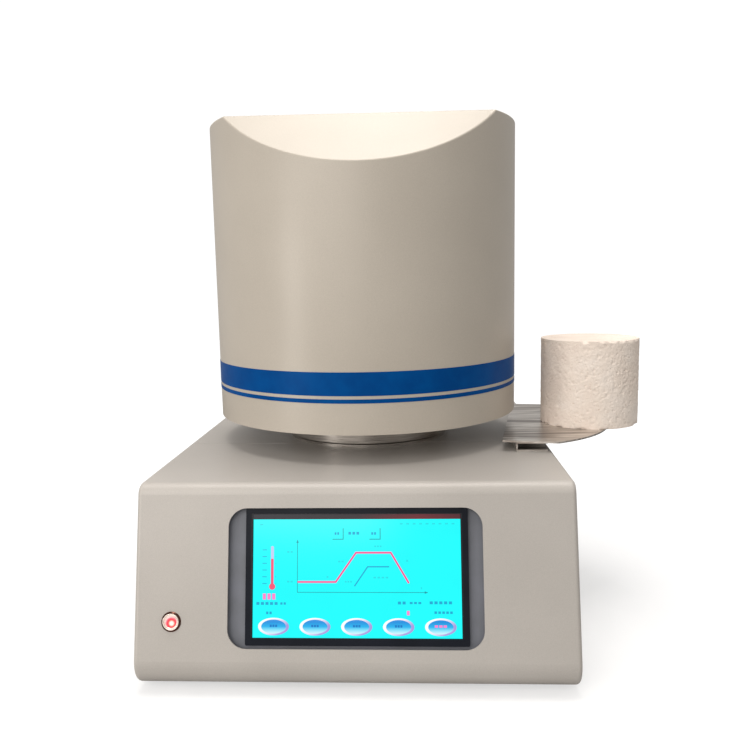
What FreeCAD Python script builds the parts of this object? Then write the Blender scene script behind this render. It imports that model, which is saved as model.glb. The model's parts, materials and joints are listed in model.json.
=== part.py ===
import FreeCAD, Part
import math
import os
import re

from FreeCAD import Placement, Rotation, Vector
import Sketcher

# A bench-top vacuum furnace for firing small porcelain pieces. A console with a leaning front panel
# carries a touch screen; a round firing head stands on it and is lifted by a motor, a lead screw and
# two guide rods; a parked fibre plug waits on a cooling tray at the right.
#
# Machine frame: X to the right, Y to the back, Z up, all in millimetres. X = 0 is the console's middle,
# Y = 0 its front bottom edge and Z = 0 its underside. The exported frame has its origin on the bench,
# under the console's middle.

DRIVING_DIMENSIONS = (
    # console covers
    ("base_width", 328),
    ("base_depth", 402),
    ("base_height", 147.5),
    ("lean_angle", 14.15),
    ("sheet_thick", 1.5),
    ("bend_bottom", 18),
    ("bend_top", 10),
    ("bend_rear", 9),
    ("edge_round", 3.5),
    ("seam_back", 175),
    ("seam_gap", 0.6),
    ("foot_height", 4),
    ("foot_radius", 11),
    ("pan_front", 26),
    ("pan_lip", 12),
    ("pan_play", 0.3),
    # window and display, measured up the leaning panel
    ("window_width", 188.5),
    ("window_height", 102),
    ("window_round", 14),
    ("window_middle", 83.25),
    ("window_right", 0.4),
    ("inset_depth", 5.5),
    ("inset_thick", 1.2),
    ("inset_border", 3),
    ("module_width", 165),
    ("module_height", 100),
    ("module_right", 1.5),
    ("module_middle", 84.45),
    ("module_depth", 2),
    ("screen_width", 154.1),
    ("screen_height", 85.9),
    ("screen_drop", 1.55),
    ("board_depth", 20),
    ("board_thick", 1.6),
    ("standoff_radius", 2.75),
    ("standoff_length", 12),
    # power button
    ("button_left", 135.7),
    ("button_up", 51.65),
    ("button_radius", 7.4),
    ("button_bore", 5.2),
    ("button_proud", 1.6),
    ("button_play", 0.06),
    ("lens_radius", 4.2),
    # firing platform
    ("platform_radius", 76),
    ("platform_thick", 2.4),
    ("spigot_radius", 12),
    ("spigot_length", 20),
    ("vacuum_bore", 3),
    ("seal_radius", 62),
    ("seal_section", 1.3),
    # lift
    ("deck_thick", 4),
    ("deck_half", 100),
    ("deck_front", 152),
    ("deck_back", 377),
    ("lift_back", 338),
    ("rod_radius", 6),
    ("rod_spread", 40),
    ("rod_top", 410),
    ("screw_radius", 6),
    ("running_play", 0.05),
    ("motor_side", 56.4),
    ("motor_height", 56),
    ("carriage_half", 58),
    ("carriage_deep", 32),
    ("carriage_high", 50),
    ("bush_radius", 10.5),
    ("nut_radius", 11),
    # firing head
    ("head_back", 230.4),
    ("hood_radius", 141.1),
    ("hood_bottom", 172.6),
    ("hood_top", 435),
    ("cut_front", 388.5),
    ("cut_angle", 38.1),
    ("cut_turn", 1.65),
    ("cut_round", 1.6),
    ("wide_band_low", 204.7),
    ("wide_band_high", 224),
    ("thin_band_low", 198.7),
    ("thin_band_high", 202),
    ("band_thick", 0.25),
    ("ring_radius", 77.8),
    ("ring_bottom", 150.7),
    ("ring_bore", 49.9),
    ("plate_bottom", 174),
    ("plate_thick", 6),
    ("chamber_top", 338),
    ("muffle_bore", 46.4),
    ("muffle_wall", 2),
    ("muffle_low", 152.6),
    ("muffle_high", 296),
    ("coil_radius", 50),
    ("coil_wire", 1.1),
    ("coil_pitch", 9),
    ("coil_low", 194),
    ("coil_turns", 10),
    # cooling tray and plug
    ("tray_left", 120.3),
    ("tray_front", 136.3),
    ("tray_turn", 9.5),
    ("tray_depth", 184),
    ("tray_radius", 114.7),
    ("tray_inset", 20.6),
    ("tray_top", 157.1),
    ("bracket_left", 132.3),
    ("bracket_front", 135.5),
    ("bracket_rear", 206),
    ("bracket_width", 27),
    ("plug_radius", 45.3),
    ("plug_height", 80),
    ("plug_right", 212.1),
    ("plug_back", 222),
    # rear panel
    ("fan_side", 80),
    ("fan_deep", 25),
    ("fan_right", 95),
    ("fan_up", 72),
    ("rotor_radius", 36),
    ("hub_radius", 17),
    ("inlet_left", 110),
    ("inlet_up", 38),
    ("switch_up", 84),
    ("rocker_tilt", 10),
    ("port_left", 60),
    ("port_up", 40),
    ("port_stem", 4),
)

document = FreeCAD.newDocument("vacuum_furnace")
sheet = document.addObject("Spreadsheet::Sheet", "dims")
for row, (alias, number) in enumerate(DRIVING_DIMENSIONS, start=1):
    sheet.set(f"A{row}", alias)
    sheet.set(f"B{row}", str(number))
    sheet.setAlias(f"B{row}", alias)
document.recompute()

PIECES = []


# ---------------------------------------------------------------- helpers


def cells(expression):
    """The expression with each sheet alias, a word with an underscore, written out as dims.alias."""
    return re.sub(r"\b[a-z]+(?:_[a-z]+)+\b", r"dims.\g<0>", str(expression))


def amount(expression):
    return float(sheet.evalExpression(cells(expression)))


def bind(piece, name, expression):
    piece.setExpression(name, cells(expression))


MACHINE = Placement(Vector(0, -amount("base_depth / 2"), amount("foot_height")), Rotation())
PANEL = MACHINE * Placement(Vector(), Rotation(Vector(1, 0, 0), -amount("lean_angle")))
TURNS = {
    "Z": Rotation(),
    "Y": Rotation(Vector(1, 0, 0), -90),
    "X": Rotation(Vector(0, 1, 0), 90),
}


def place(piece, x, y, z, frame=MACHINE, turn=Rotation()):
    """Put a piece at a point of the machine frame, or of the panel frame (x, depth, height up)."""
    piece.Placement = frame * Placement(Vector(amount(x), amount(y), amount(z)), turn)
    return piece


def keep(piece, name):
    """Name a finished piece, so that it is written to its own file."""
    piece.Label = name
    PIECES.append(piece)
    return piece


def cylinder(radius, height, x=0, y=0, z=0, frame=MACHINE, axis="Z"):
    piece = document.addObject("Part::Cylinder", "round")
    bind(piece, "Radius", radius)
    bind(piece, "Height", height)
    return place(piece, x, y, z, frame, TURNS[axis])


def cone(low_radius, high_radius, height, x=0, y=0, z=0, frame=MACHINE, axis="Z"):
    piece = document.addObject("Part::Cone", "taper")
    bind(piece, "Radius1", low_radius)
    bind(piece, "Radius2", high_radius)
    bind(piece, "Height", height)
    return place(piece, x, y, z, frame, TURNS[axis])


def span(middle, half):
    """The low and high expressions at the given half width about a middle."""
    return f"({middle}) - ({half})", f"({middle}) + ({half})"


def block(x_range, y_range, z_range, frame=MACHINE):
    """A box between the low and high expressions of each direction."""
    piece = document.addObject("Part::Box", "block")
    for name, (low, high) in zip(("Length", "Width", "Height"), (x_range, y_range, z_range)):
        bind(piece, name, f"({high}) - ({low})")
    return place(piece, x_range[0], y_range[0], z_range[0], frame)


def torus(ring, section, x=0, y=0, z=0, frame=MACHINE, axis="Z"):
    piece = document.addObject("Part::Torus", "ring")
    bind(piece, "Radius1", ring)
    bind(piece, "Radius2", section)
    return place(piece, x, y, z, frame, TURNS[axis])


def prism(sides, across_flats, height, x=0, y=0, z=0, frame=MACHINE, axis="Z"):
    """A regular prism, such as a nut's hexagon, by its size across flats."""
    piece = document.addObject("Part::Prism", "prism")
    piece.Polygon = sides
    bind(piece, "Circumradius", f"({across_flats}) / 2 / cos(180 / {sides})")
    bind(piece, "Height", height)
    return place(piece, x, y, z, frame, TURNS[axis])


def fused(*parts):
    piece = document.addObject("Part::MultiFuse", "joined")
    piece.Shapes = list(parts)
    return piece


def together(*parts):
    """Several separate solids of one kind, kept as one piece."""
    piece = document.addObject("Part::Compound", "set")
    piece.Links = list(parts)
    return piece


def cut(base, *tools):
    piece = document.addObject("Part::Cut", "cut")
    piece.Base = base
    piece.Tool = tools[0] if len(tools) == 1 else together(*tools)
    return piece


def tube(outer, inner, height, x=0, y=0, z=0, frame=MACHINE, axis="Z"):
    return cut(
        cylinder(outer, height, x, y, z, frame, axis),
        cylinder(inner, height, x, y, z, frame, axis),
    )


def body(name, frame=MACHINE, x=0, y=0, z=0):
    piece = document.addObject("PartDesign::Body", name)
    place(piece, x, y, z, frame)
    return keep(piece, name)


def sketch(piece, plane, offset=0):
    drawing = piece.newObject("Sketcher::SketchObject", f"{piece.Name}_sketch")
    origin_plane = next(item for item in piece.Origin.OriginFeatures if item.Role == plane)
    drawing.AttachmentSupport = [(origin_plane, "")]
    drawing.MapMode = "FlatFace"
    bind(drawing, "AttachmentOffset.Base.z", offset)
    return drawing


def pin_point(drawing, geometry, end, x, y):
    """Hold one point of a sketch element at an expression-driven place."""
    for kind, expression in (("DistanceX", x), ("DistanceY", y)):
        constraint = Sketcher.Constraint(kind, -1, 1, geometry, end, amount(expression))
        index = drawing.addConstraint(constraint)
        bind(drawing, f"Constraints[{index}]", expression)


def draw_outline(drawing, corners):
    """A closed outline of straight lines through the corners, each held by its two coordinates."""
    points = [Vector(amount(x), amount(y), 0) for x, y in corners]
    lines = []
    for start, end in zip(points, points[1:] + points[:1]):
        lines.append(drawing.addGeometry(Part.LineSegment(start, end), False))
    for this_line, next_line in zip(lines, lines[1:] + lines[:1]):
        drawing.addConstraint(Sketcher.Constraint("Coincident", this_line, 2, next_line, 1))
    for line, (x, y) in zip(lines, corners):
        pin_point(drawing, line, 1, x, y)


def draw_rectangle(drawing, x_range, y_range):
    (left, right), (low, high) = x_range, y_range
    draw_outline(drawing, ((left, low), (right, low), (right, high), (left, high)))


def draw_circle(drawing, x, y, radius):
    centre = Vector(amount(x), amount(y), 0)
    circle = drawing.addGeometry(Part.Circle(centre, Vector(0, 0, 1), amount(radius)), False)
    index = drawing.addConstraint(Sketcher.Constraint("Radius", circle, amount(radius)))
    bind(drawing, f"Constraints[{index}]", radius)
    pin_point(drawing, circle, 3, x, y)


def pad(piece, drawing, length, symmetric=False, backwards=False):
    feature = piece.newObject("PartDesign::Pad", "pad")
    feature.Profile = drawing
    bind(feature, "Length", length)
    feature.SideType = "Symmetric" if symmetric else "One side"
    feature.Reversed = backwards
    document.recompute()
    return feature


def pocket(piece, drawing, length=None, symmetric=False, backwards=False):
    """Cut a sketch out of the body, through everything when no length is given."""
    before = piece.Shape.Volume
    feature = piece.newObject("PartDesign::Pocket", "pocket")
    feature.Profile = drawing
    if length is None:
        feature.Type = "ThroughAll"
    else:
        bind(feature, "Length", length)
    feature.SideType = "Symmetric" if symmetric else "One side"
    feature.Reversed = backwards
    document.recompute()
    if not piece.Shape.Volume < before - 0.01:
        raise RuntimeError(f"a pocket of {piece.Label} removes nothing")
    return feature


def round_edges(piece, radius, wanted):
    """Fillet every edge of the body's tip that the test picks out."""
    tip = piece.Tip
    names = [f"Edge{i}" for i, edge in enumerate(tip.Shape.Edges, start=1) if wanted(edge)]
    feature = piece.newObject("PartDesign::Fillet", "fillet")
    feature.Base = (tip, names)
    bind(feature, "Radius", radius)
    document.recompute()
    return feature


def hollow(piece, thickness, opened):
    """Leave a sheet of the given thickness, open at the faces that the test picks out."""
    tip = piece.Tip
    names = [f"Face{i}" for i, face in enumerate(tip.Shape.Faces, start=1) if opened(face)]
    feature = piece.newObject("PartDesign::Thickness", "sheet")
    feature.Base = (tip, names)
    bind(feature, "Value", thickness)
    feature.Join = "Intersection"
    feature.Reversed = True
    document.recompute()
    return feature


def upright_corner(edge):
    """A short straight edge that runs through a plate standing in the panel frame."""
    return edge.BoundBox.YLength > 1 and edge.BoundBox.XLength < 0.1


def edge_at(x=None, y=None, z=None, tolerance=0.05):
    """A test for straight edges that lie whole at the given body coordinates."""
    wanted = [(axis, amount(v)) for axis, v in zip("xyz", (x, y, z)) if v is not None]

    def test(edge):
        ends = [vertex.Point for vertex in edge.Vertexes]
        return len(ends) == 2 and all(
            abs(getattr(point, axis) - number) < tolerance for point in ends for axis, number in wanted
        )

    return test


def flat_at(axis, number, tolerance=0.05):
    """A test for flat faces that lie across the given body axis at the given place."""

    def test(face):
        box = face.BoundBox
        low, high = getattr(box, f"{axis}Min"), getattr(box, f"{axis}Max")
        return abs(low - amount(number)) < tolerance and abs(high - amount(number)) < tolerance

    return test


def hose(name, points, outer, inner, bend):
    """A hose along straight runs joined by tangent arcs, in machine coordinates."""
    stops = [Vector(*(amount(value) for value in point)) for point in points]
    edges = []
    start = stops[0]
    for before, corner, after in zip(stops, stops[1:], stops[2:]):
        come = (corner - before).normalize()
        leave = (after - corner).normalize()
        half_turn = come.getAngle(leave) / 2
        reach = bend * math.tan(half_turn)
        inward = (leave - come).normalize()
        first, last = corner - come * reach, corner + leave * reach
        middle = corner + inward * (bend / math.cos(half_turn) - bend)
        edges.append(Part.LineSegment(start, first).toShape())
        edges.append(Part.Arc(first, middle, last).toShape())
        start = last
    edges.append(Part.LineSegment(start, stops[-1]).toShape())
    spine = Part.Wire(edges)
    direction = stops[1] - stops[0]
    shells = []
    for radius in (outer, inner):
        circle = Part.Wire(Part.makeCircle(amount(radius), stops[0], direction))
        shells.append(spine.makePipeShell([circle], True, False))
    piece = document.addObject("Part::Feature", name)
    piece.Shape = shells[0].cut(shells[1])
    piece.Placement = MACHINE
    return keep(piece, name)


# ---------------------------------------------------------------- places that several pieces share

FRONT_COVER_BACK = "seam_back - seam_gap / 2"
INNER_WALL = "base_depth - sheet_thick"
DECK_TOP = "base_height - sheet_thick"
DECK_BOTTOM = "base_height - sheet_thick - deck_thick"
MOTOR_TOP = "base_height - sheet_thick - deck_thick - 28"
PLATE_TOP = "plate_bottom + plate_thick"
ROD_SIDES = ("-rod_spread", "rod_spread")
TERMINAL_SIDES = (-30, 30)
FRONT_SCREW_BACKS = (60, 140)
REAR_SCREW_BACKS = (200, 380)
COVER_SCREW_UP = 8
COVER_SCREW_HEAD = 2.8
COVER_SCREW_SHANK = 1.5
HOOD_SCREW_ANGLES = (20, 70, 110, 160)
HOOD_SCREW_UP = "plate_bottom + 3"
TRAY_SCREW_ACROSS = "bracket_left + 16"
TRAY_SCREW_BACKS = (184, 198)
POWER_BOARD_CORNERS = ((-148, 62), (-148, 132), (-62, 62), (-62, 132))
VALVE_RIGHT, VALVE_BACK = "-port_left", 250
FUSE_HEIGHTS = (84, 108)
FUSE_ACROSS = -70
FUSE_RADIUS = 5.5


# ---------------------------------------------------------------- console covers


def front_cover_solid(name, inset, low, back):
    """The front cover's block with both bends, drawn inwards by the given amount."""
    piece = body(name)
    PIECES.remove(piece)
    profile = sketch(piece, "YZ_Plane")
    high = f"base_height - ({inset})"
    start = f"({inset}) / cos(lean_angle)"
    front_low = f"({low}) * tan(lean_angle) + {start}"
    front_high = f"({high}) * tan(lean_angle) + {start}"
    draw_outline(profile, ((front_low, low), (back, low), (back, high), (front_high, high)))
    pad(piece, profile, f"base_width - 2 * ({inset})", symmetric=True)
    round_edges(piece, f"bend_top - ({inset})", edge_at(y=front_high, z=high))
    round_edges(piece, f"bend_bottom - ({inset})", edge_at(y=front_low, z=low))
    return piece


def front_cover():
    """Leaning front panel and the front of the top, bent from one sheet, with closed sides.

    The window and the button hole are cut square to the leaning panel.
    """
    outer = front_cover_solid("front_cover_outside", 0, 0, FRONT_COVER_BACK)
    half, back_edge = amount("base_width / 2"), amount(FRONT_COVER_BACK)

    def on_side(edge):
        box = edge.BoundBox
        on_face = box.XLength < 0.05 and abs(abs(box.Center.x) - half) < 0.05
        return on_face and box.ZMax > 0.05 and box.YMin < back_edge - 0.05

    round_edges(outer, "edge_round", on_side)
    inner = front_cover_solid("front_cover_inside", "sheet_thick", "sheet_thick", f"{FRONT_COVER_BACK} + 5")
    inner_half = "base_width / 2 - sheet_thick"
    underside = block((f"-({inner_half})", inner_half), ("pan_front - pan_play", "seam_back + 5"), (-5, 5))
    reach = "sheet_thick * 4"
    window = document.addObject("PartDesign::Body", "window_tool")
    place(window, 0, f"-{reach} / 2", 0, PANEL)
    opening = sketch(window, "XZ_Plane")
    draw_rectangle(opening, *window_edges())
    pad(window, opening, reach, backwards=True)
    round_edges(window, "window_round", upright_corner)
    button = cylinder("button_radius - 1.4", reach, "-button_left", f"-{reach} / 2", "button_up", PANEL, "Y")
    screws = cover_screw_holes(FRONT_SCREW_BACKS)
    sheet_metal = cut(cut(outer, inner), underside)
    return keep(cut(sheet_metal, window, button, *screws), "front_cover")


def window_edges(border=0):
    across = span("window_right", f"window_width / 2 + {border}")
    upright = span("window_middle", f"window_height / 2 + {border}")
    return across, upright


def cover_screw_holes(backs):
    """Holes through both side walls for the countersunk cover screws."""
    radius, left = COVER_SCREW_HEAD + 0.1, "-base_width / 2 - 1"
    return [cylinder(radius, "base_width + 2", left, back, COVER_SCREW_UP, axis="X") for back in backs]


def rear_cover():
    """Top deck, sides and back wall in one sheet, with the openings that the deck and back need."""
    cover = body("rear_cover_sheet")
    PIECES.remove(cover)
    front = "seam_back + seam_gap / 2"
    profile = sketch(cover, "YZ_Plane")
    draw_rectangle(profile, (front, "base_depth"), (0, "base_height"))
    pad(cover, profile, "base_width", symmetric=True)
    round_edges(cover, "bend_rear", edge_at(y="base_depth", z="base_height"))
    half = amount("base_width / 2")
    front_edge = amount(front)

    def on_side(edge):
        box = edge.BoundBox
        on_face = box.XLength < 0.05 and abs(abs(box.Center.x) - half) < 0.05
        return on_face and box.ZMax > 0.05 and box.YMax > front_edge + 0.05

    round_edges(cover, "edge_round", on_side)
    hollow(cover, "sheet_thick", lambda face: flat_at("Z", 0)(face) or flat_at("Y", front)(face))

    deck = sketch(cover, "XY_Plane", "base_height - 4")
    draw_circle(deck, 0, "head_back", "spigot_radius + 2")
    draw_rectangle(
        deck,
        ("-carriage_half", "carriage_half"),
        ("lift_back - 19", "lift_back + 19"),
    )
    pocket(cover, deck, 10, backwards=True)

    wall = sketch(cover, "XZ_Plane", "-base_depth - 5")
    draw_circle(wall, "fan_right", "fan_up", "rotor_radius + 1.5")
    draw_circle(wall, "-port_left", "port_up", "port_stem + 1.2")
    for fuse_up in FUSE_HEIGHTS:
        draw_circle(wall, FUSE_ACROSS, fuse_up, FUSE_RADIUS + 0.2)
    draw_rectangle(wall, ("-inlet_left - 14", "-inlet_left + 14"), ("inlet_up - 10.2", "inlet_up + 10.2"))
    draw_rectangle(wall, ("-inlet_left - 9.9", "-inlet_left + 9.9"), ("switch_up - 14.2", "switch_up + 14.2"))
    pocket(cover, wall, 12, backwards=True)

    slot = sketch(cover, "YZ_Plane")
    draw_rectangle(slot, ("seam_back + 60", "seam_back + 63"), (52, 88))
    first = pocket(cover, slot, "base_width + 10", symmetric=True)
    rows = cover.newObject("PartDesign::LinearPattern", "vent_row")
    rows.Originals = [first]
    rows.Direction = (slot, ["H_Axis"])
    rows.Length = 117
    rows.Occurrences = 14
    cover.Tip = rows
    document.recompute()
    screws = cover_screw_holes(REAR_SCREW_BACKS)
    screws += [cylinder(2.05, 10, TRAY_SCREW_ACROSS, back, "base_height - 5") for back in TRAY_SCREW_BACKS]
    return keep(cut(cover, *screws), "rear_cover")


def base_pan():
    """Bottom tray of the console, with a turned-up rim and two rows of vent slots."""
    pan = body("base_pan_sheet")
    PIECES.remove(pan)
    half = "base_width / 2 - sheet_thick - pan_play"
    rear = "base_depth - sheet_thick - pan_play"
    outline = sketch(pan, "XY_Plane")
    draw_rectangle(outline, (f"-({half})", half), ("pan_front", rear))
    pad(pan, outline, "pan_lip")
    hollow(pan, "sheet_thick", flat_at("Z", "pan_lip"))
    slot = sketch(pan, "XY_Plane")
    draw_rectangle(slot, (70, 120), (190, 193))
    first = pocket(pan, slot, "sheet_thick", backwards=True)
    rows = pan.newObject("PartDesign::LinearPattern", "vent_row")
    rows.Originals = [first]
    rows.Direction = (slot, ["V_Axis"])
    rows.Length = 63
    rows.Occurrences = 8
    pan.Tip = rows
    document.recompute()
    holes = [
        cylinder(COVER_SCREW_SHANK + 0.05, "base_width", "-base_width / 2", back, COVER_SCREW_UP, axis="X")
        for back in FRONT_SCREW_BACKS + REAR_SCREW_BACKS
    ]
    return keep(cut(pan, *holes), "base_pan")


def rubber_feet():
    feet = []
    for across in ("-base_width / 2 + 28", "base_width / 2 - 28"):
        for back in ("pan_front + 28", "base_depth - 30"):
            feet.append(cone("foot_radius", "foot_radius + 1", "foot_height", across, back, "-foot_height"))
    return keep(together(*feet), "rubber_feet")


def cover_screws():
    """Countersunk screws that hold both covers to the pan's rim, flush with the sides."""
    screws = []
    for side in (-1, 1):
        for back in FRONT_SCREW_BACKS + REAR_SCREW_BACKS:
            head_left = "base_width / 2 - sheet_thick" if side > 0 else "-base_width / 2"
            shank_left = "base_width / 2 - 9" if side > 0 else "-base_width / 2 + sheet_thick"
            head = cylinder(COVER_SCREW_HEAD, "sheet_thick", head_left, back, COVER_SCREW_UP, axis="X")
            shank = cylinder(
                COVER_SCREW_SHANK, "9 - sheet_thick", shank_left, back, COVER_SCREW_UP, axis="X"
            )
            screws.append(fused(head, shank))
    return keep(together(*screws), "cover_screws")


# ---------------------------------------------------------------- display, in the panel frame


def display_inset():
    """Pressed grey tray behind the window: it closes the opening and carries the display."""
    inset = body("display_inset", PANEL, 0, "sheet_thick", 0)
    outer = sketch(inset, "XZ_Plane")
    draw_rectangle(outer, *window_edges("inset_border"))
    pad(inset, outer, "inset_depth + inset_thick - sheet_thick", backwards=True)
    round_edges(inset, "window_round + inset_border", upright_corner)
    recess = sketch(inset, "XZ_Plane")
    draw_rectangle(recess, *window_edges(1))
    pocket(inset, recess, "inset_depth - sheet_thick")
    opening = sketch(inset, "XZ_Plane")
    draw_rectangle(opening, *module_edges("module_width - 3", "module_height - 3"))
    pocket(inset, opening, "inset_depth + 5")
    return inset


def module_edges(width, height, drop=0):
    """A rectangle about the display module's middle, lowered by the given drop."""
    across = span("module_right", f"({width}) / 2")
    upright = span(f"module_middle - ({drop})", f"({height}) / 2")
    return across, upright


def display_frame():
    """Black bezel of the display module, with a rebate behind for the panel."""
    frame = body("display_frame", PANEL, 0, "module_depth", 0)
    outer = sketch(frame, "XZ_Plane")
    draw_rectangle(outer, *module_edges("module_width", "module_height"))
    pad(frame, outer, "inset_depth - module_depth", backwards=True)
    round_edges(frame, 1.2, upright_corner)
    opening = sketch(frame, "XZ_Plane")
    draw_rectangle(opening, *module_edges("screen_width", "screen_height", "screen_drop"))
    pocket(frame, opening, "module_depth + 5")
    rebate = sketch(frame, "XZ_Plane", "-inset_depth + module_depth")
    draw_rectangle(rebate, *module_edges("module_width - 3.4", "module_height - 3.4"))
    pocket(frame, rebate, "inset_depth - module_depth - 1.2", backwards=True)
    return frame


def display_screen():
    """Touch glass and liquid-crystal panel, one laminated slab behind the bezel."""
    across, upright = module_edges("module_width - 4", "module_height - 4")
    slab = block(across, ("module_depth + 1.2", "inset_depth + 5.5"), upright, PANEL)
    return keep(slab, "display_screen")


def board_corners():
    for across in ("module_right - 84", "module_right + 84"):
        for upright in ("module_middle - 50", "module_middle + 50"):
            yield across, upright


def control_board():
    """Main circuit board behind the display, with its processor, connectors and capacitors."""
    top = "board_depth"
    back = "board_depth + board_thick"
    board = block(
        ("module_right - 88", "module_right + 88"),
        (top, back),
        ("module_middle - 54", "module_middle + 54"),
        PANEL,
    )
    chips = [
        block(("module_right - 16", "module_right + 4"), (back, f"{back} + 2"), (70, 90), PANEL),
        block(("module_right + 24", "module_right + 38"), (back, f"{back} + 2"), (74, 84), PANEL),
        block(("module_right - 70", "module_right - 20"), (back, f"{back} + 9"), (30, 39), PANEL),
        block(("module_right + 10", "module_right + 60"), (back, f"{back} + 9"), (30, 39), PANEL),
    ]
    for across in (-60, -46, 54):
        chips.append(cylinder(5, 12, f"module_right + {across}", back, 108, PANEL, "Y"))
    holes = [
        cylinder(1.6, 10, across, "board_depth - 4", upright, PANEL, "Y")
        for across, upright in board_corners()
    ]
    return keep(cut(fused(board, *chips), *holes), "control_board")


def display_screws():
    """Screws through the control board into its standoffs."""
    screws = []
    for across, upright in board_corners():
        head = cylinder(2.8, 2, across, "board_depth + board_thick", upright, PANEL, "Y")
        shank = cylinder(1.5, 7, across, "board_depth + board_thick - 7", upright, PANEL, "Y")
        screws.append(fused(head, shank))
    return keep(together(*screws), "display_screws")


def board_standoffs():
    """Equal hexagon standoffs: four carry the control board, four the power board."""
    posts = []
    for across, upright in board_corners():
        post = cylinder(
            "standoff_radius", "standoff_length", across, "board_depth - standoff_length", upright, PANEL, "Y"
        )
        bore = cylinder(1.5, 6, across, "board_depth - 6", upright, PANEL, "Y")
        posts.append(cut(post, bore))
    for across, back in POWER_BOARD_CORNERS:
        posts.append(cylinder("standoff_radius", "standoff_length", across, back, "sheet_thick"))
    return keep(together(*posts), "board_standoffs")


# ---------------------------------------------------------------- power button, in the panel frame


def power_button():
    """Small metal push button with a lit centre: bezel and barrel, lock nut, cap and lens."""
    front = "-button_proud"
    left, up = "-button_left", "button_up"
    flange = cylinder("button_radius", "button_proud", left, front, up, PANEL, "Y")
    barrel = cylinder("button_radius - 1.5", 18, left, 0, up, PANEL, "Y")
    bore = cylinder("button_bore", 12, left, front, up, PANEL, "Y")
    keep(cut(fused(flange, barrel), bore), "button_bezel")

    hexagon = prism(6, 15, 2.5, left, "sheet_thick", up, PANEL, "Y")
    thread = cylinder("button_radius - 1.5", 4, left, "sheet_thick - 0.5", up, PANEL, "Y")
    keep(cut(hexagon, thread), "button_nut")

    cap = cylinder("button_bore - button_play", 9, left, "-button_proud + 0.35", up, PANEL, "Y")
    seat = cylinder("lens_radius", 1.5, left, "-button_proud + 0.35", up, PANEL, "Y")
    keep(cut(cap, seat), "button_cap")
    keep(cylinder("lens_radius", 1.5, left, "-button_proud + 0.35", up, PANEL, "Y"), "button_lens")


# ---------------------------------------------------------------- firing platform


def firing_platform():
    """Round stainless platform with a seal groove and a hollow spigot for the vacuum line."""
    low = "base_height"
    disc = cylinder("platform_radius", "platform_thick", 0, "head_back", low)
    spigot = cylinder("spigot_radius", "spigot_length", 0, "head_back", f"{low} - spigot_length")
    bore = cylinder("vacuum_bore", "spigot_length + 5", 0, "head_back", f"{low} - spigot_length - 1")
    groove = tube(
        "seal_radius + seal_section + 0.1",
        "seal_radius - seal_section - 0.1",
        2,
        0,
        "head_back",
        f"{low} + 0.3",
    )
    groove_top = tube(
        "seal_radius + seal_section + 0.1",
        "seal_radius - seal_section - 0.1",
        1,
        0,
        "head_back",
        f"{low} + platform_thick - 0.5",
    )
    keep(cut(fused(disc, spigot), bore, fused(groove, groove_top)), "firing_platform")
    seal = torus("seal_radius", "seal_section", 0, "head_back", f"{low} + 0.3 + seal_section")
    keep(seal, "platform_seal")


# ---------------------------------------------------------------- lift

def deck_plate():
    """Steel plate under the top cover: it carries the platform, the rods and the motor."""
    plate = block(("-deck_half", "deck_half"), ("deck_front", "deck_back"), (DECK_BOTTOM, DECK_TOP))
    holes = [
        cylinder("spigot_radius", 10, 0, "head_back", f"{DECK_BOTTOM} - 3"),
        cylinder(13, 10, 0, "lift_back", f"{DECK_BOTTOM} - 3"),
    ]
    for side in ROD_SIDES:
        holes.append(cylinder("rod_radius", 10, side, "lift_back", f"{DECK_BOTTOM} - 3"))
    return keep(cut(plate, *holes), "deck_plate")


def deck_posts():
    posts = []
    for across in ("-deck_half + 12", "deck_half - 12"):
        for back in ("deck_front + 12", "deck_back - 12"):
            posts.append(cylinder(6, f"({DECK_BOTTOM}) - sheet_thick", across, back, "sheet_thick"))
    return keep(together(*posts), "deck_posts")


def lift_motor():
    """Square stepper motor hung under the deck, with end caps, pilot boss and a clear shaft bore."""
    half = "motor_side / 2"
    low = f"{MOTOR_TOP} - motor_height"
    case = body("motor_case")
    PIECES.remove(case)
    square = sketch(case, "XY_Plane", low)
    draw_rectangle(square, span(0, half), span("lift_back", half))
    pad(case, square, "motor_height")
    round_edges(case, 6, lambda edge: edge.BoundBox.ZLength > 10)
    boss = cylinder(19, 1.6, 0, "lift_back", MOTOR_TOP)
    waist_high = (f"{low} + 11", f"{MOTOR_TOP} - 9")
    waist = cut(
        block(span(0, "motor_side"), span("lift_back", "motor_side"), waist_high),
        block(span(0, f"{half} - 1.5"), span("lift_back", f"{half} - 1.5"), waist_high),
    )
    bore = cylinder(4.06, 30, 0, "lift_back", f"{MOTOR_TOP} - 20")
    keep(cut(fused(case, boss), waist, bore), "lift_motor")

    spacers = []
    length = f"({DECK_BOTTOM}) - ({MOTOR_TOP})"
    for across in (-23.57, 23.57):
        for back in (-23.57, 23.57):
            spacers.append(tube(4, 2, length, across, f"lift_back + {back}", MOTOR_TOP))
    keep(together(*spacers), "motor_spacers")


def screw_train():
    """What turns: motor shaft, clamp coupler and lead screw."""
    keep(cylinder(4, 34, 0, "lift_back", f"{MOTOR_TOP} - 18"), "motor_shaft")
    coupler = cylinder(11, 26, 0, "lift_back", f"{MOTOR_TOP} + 4")
    low_bore = cylinder(4, 12, 0, "lift_back", f"{MOTOR_TOP} + 4")
    high_bore = cylinder("screw_radius", 14, 0, "lift_back", f"{MOTOR_TOP} + 16")
    keep(cut(coupler, low_bore, high_bore), "screw_coupler")
    length = f"rod_top - 1 - ({MOTOR_TOP} + 16)"
    keep(cylinder("screw_radius", length, 0, "lift_back", f"{MOTOR_TOP} + 16"), "lead_screw")


def guide_rods():
    low = f"{DECK_BOTTOM} - 4"
    rods = [cylinder("rod_radius", f"rod_top - ({low})", side, "lift_back", low) for side in ROD_SIDES]
    return keep(together(*rods), "guide_rods")


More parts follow.
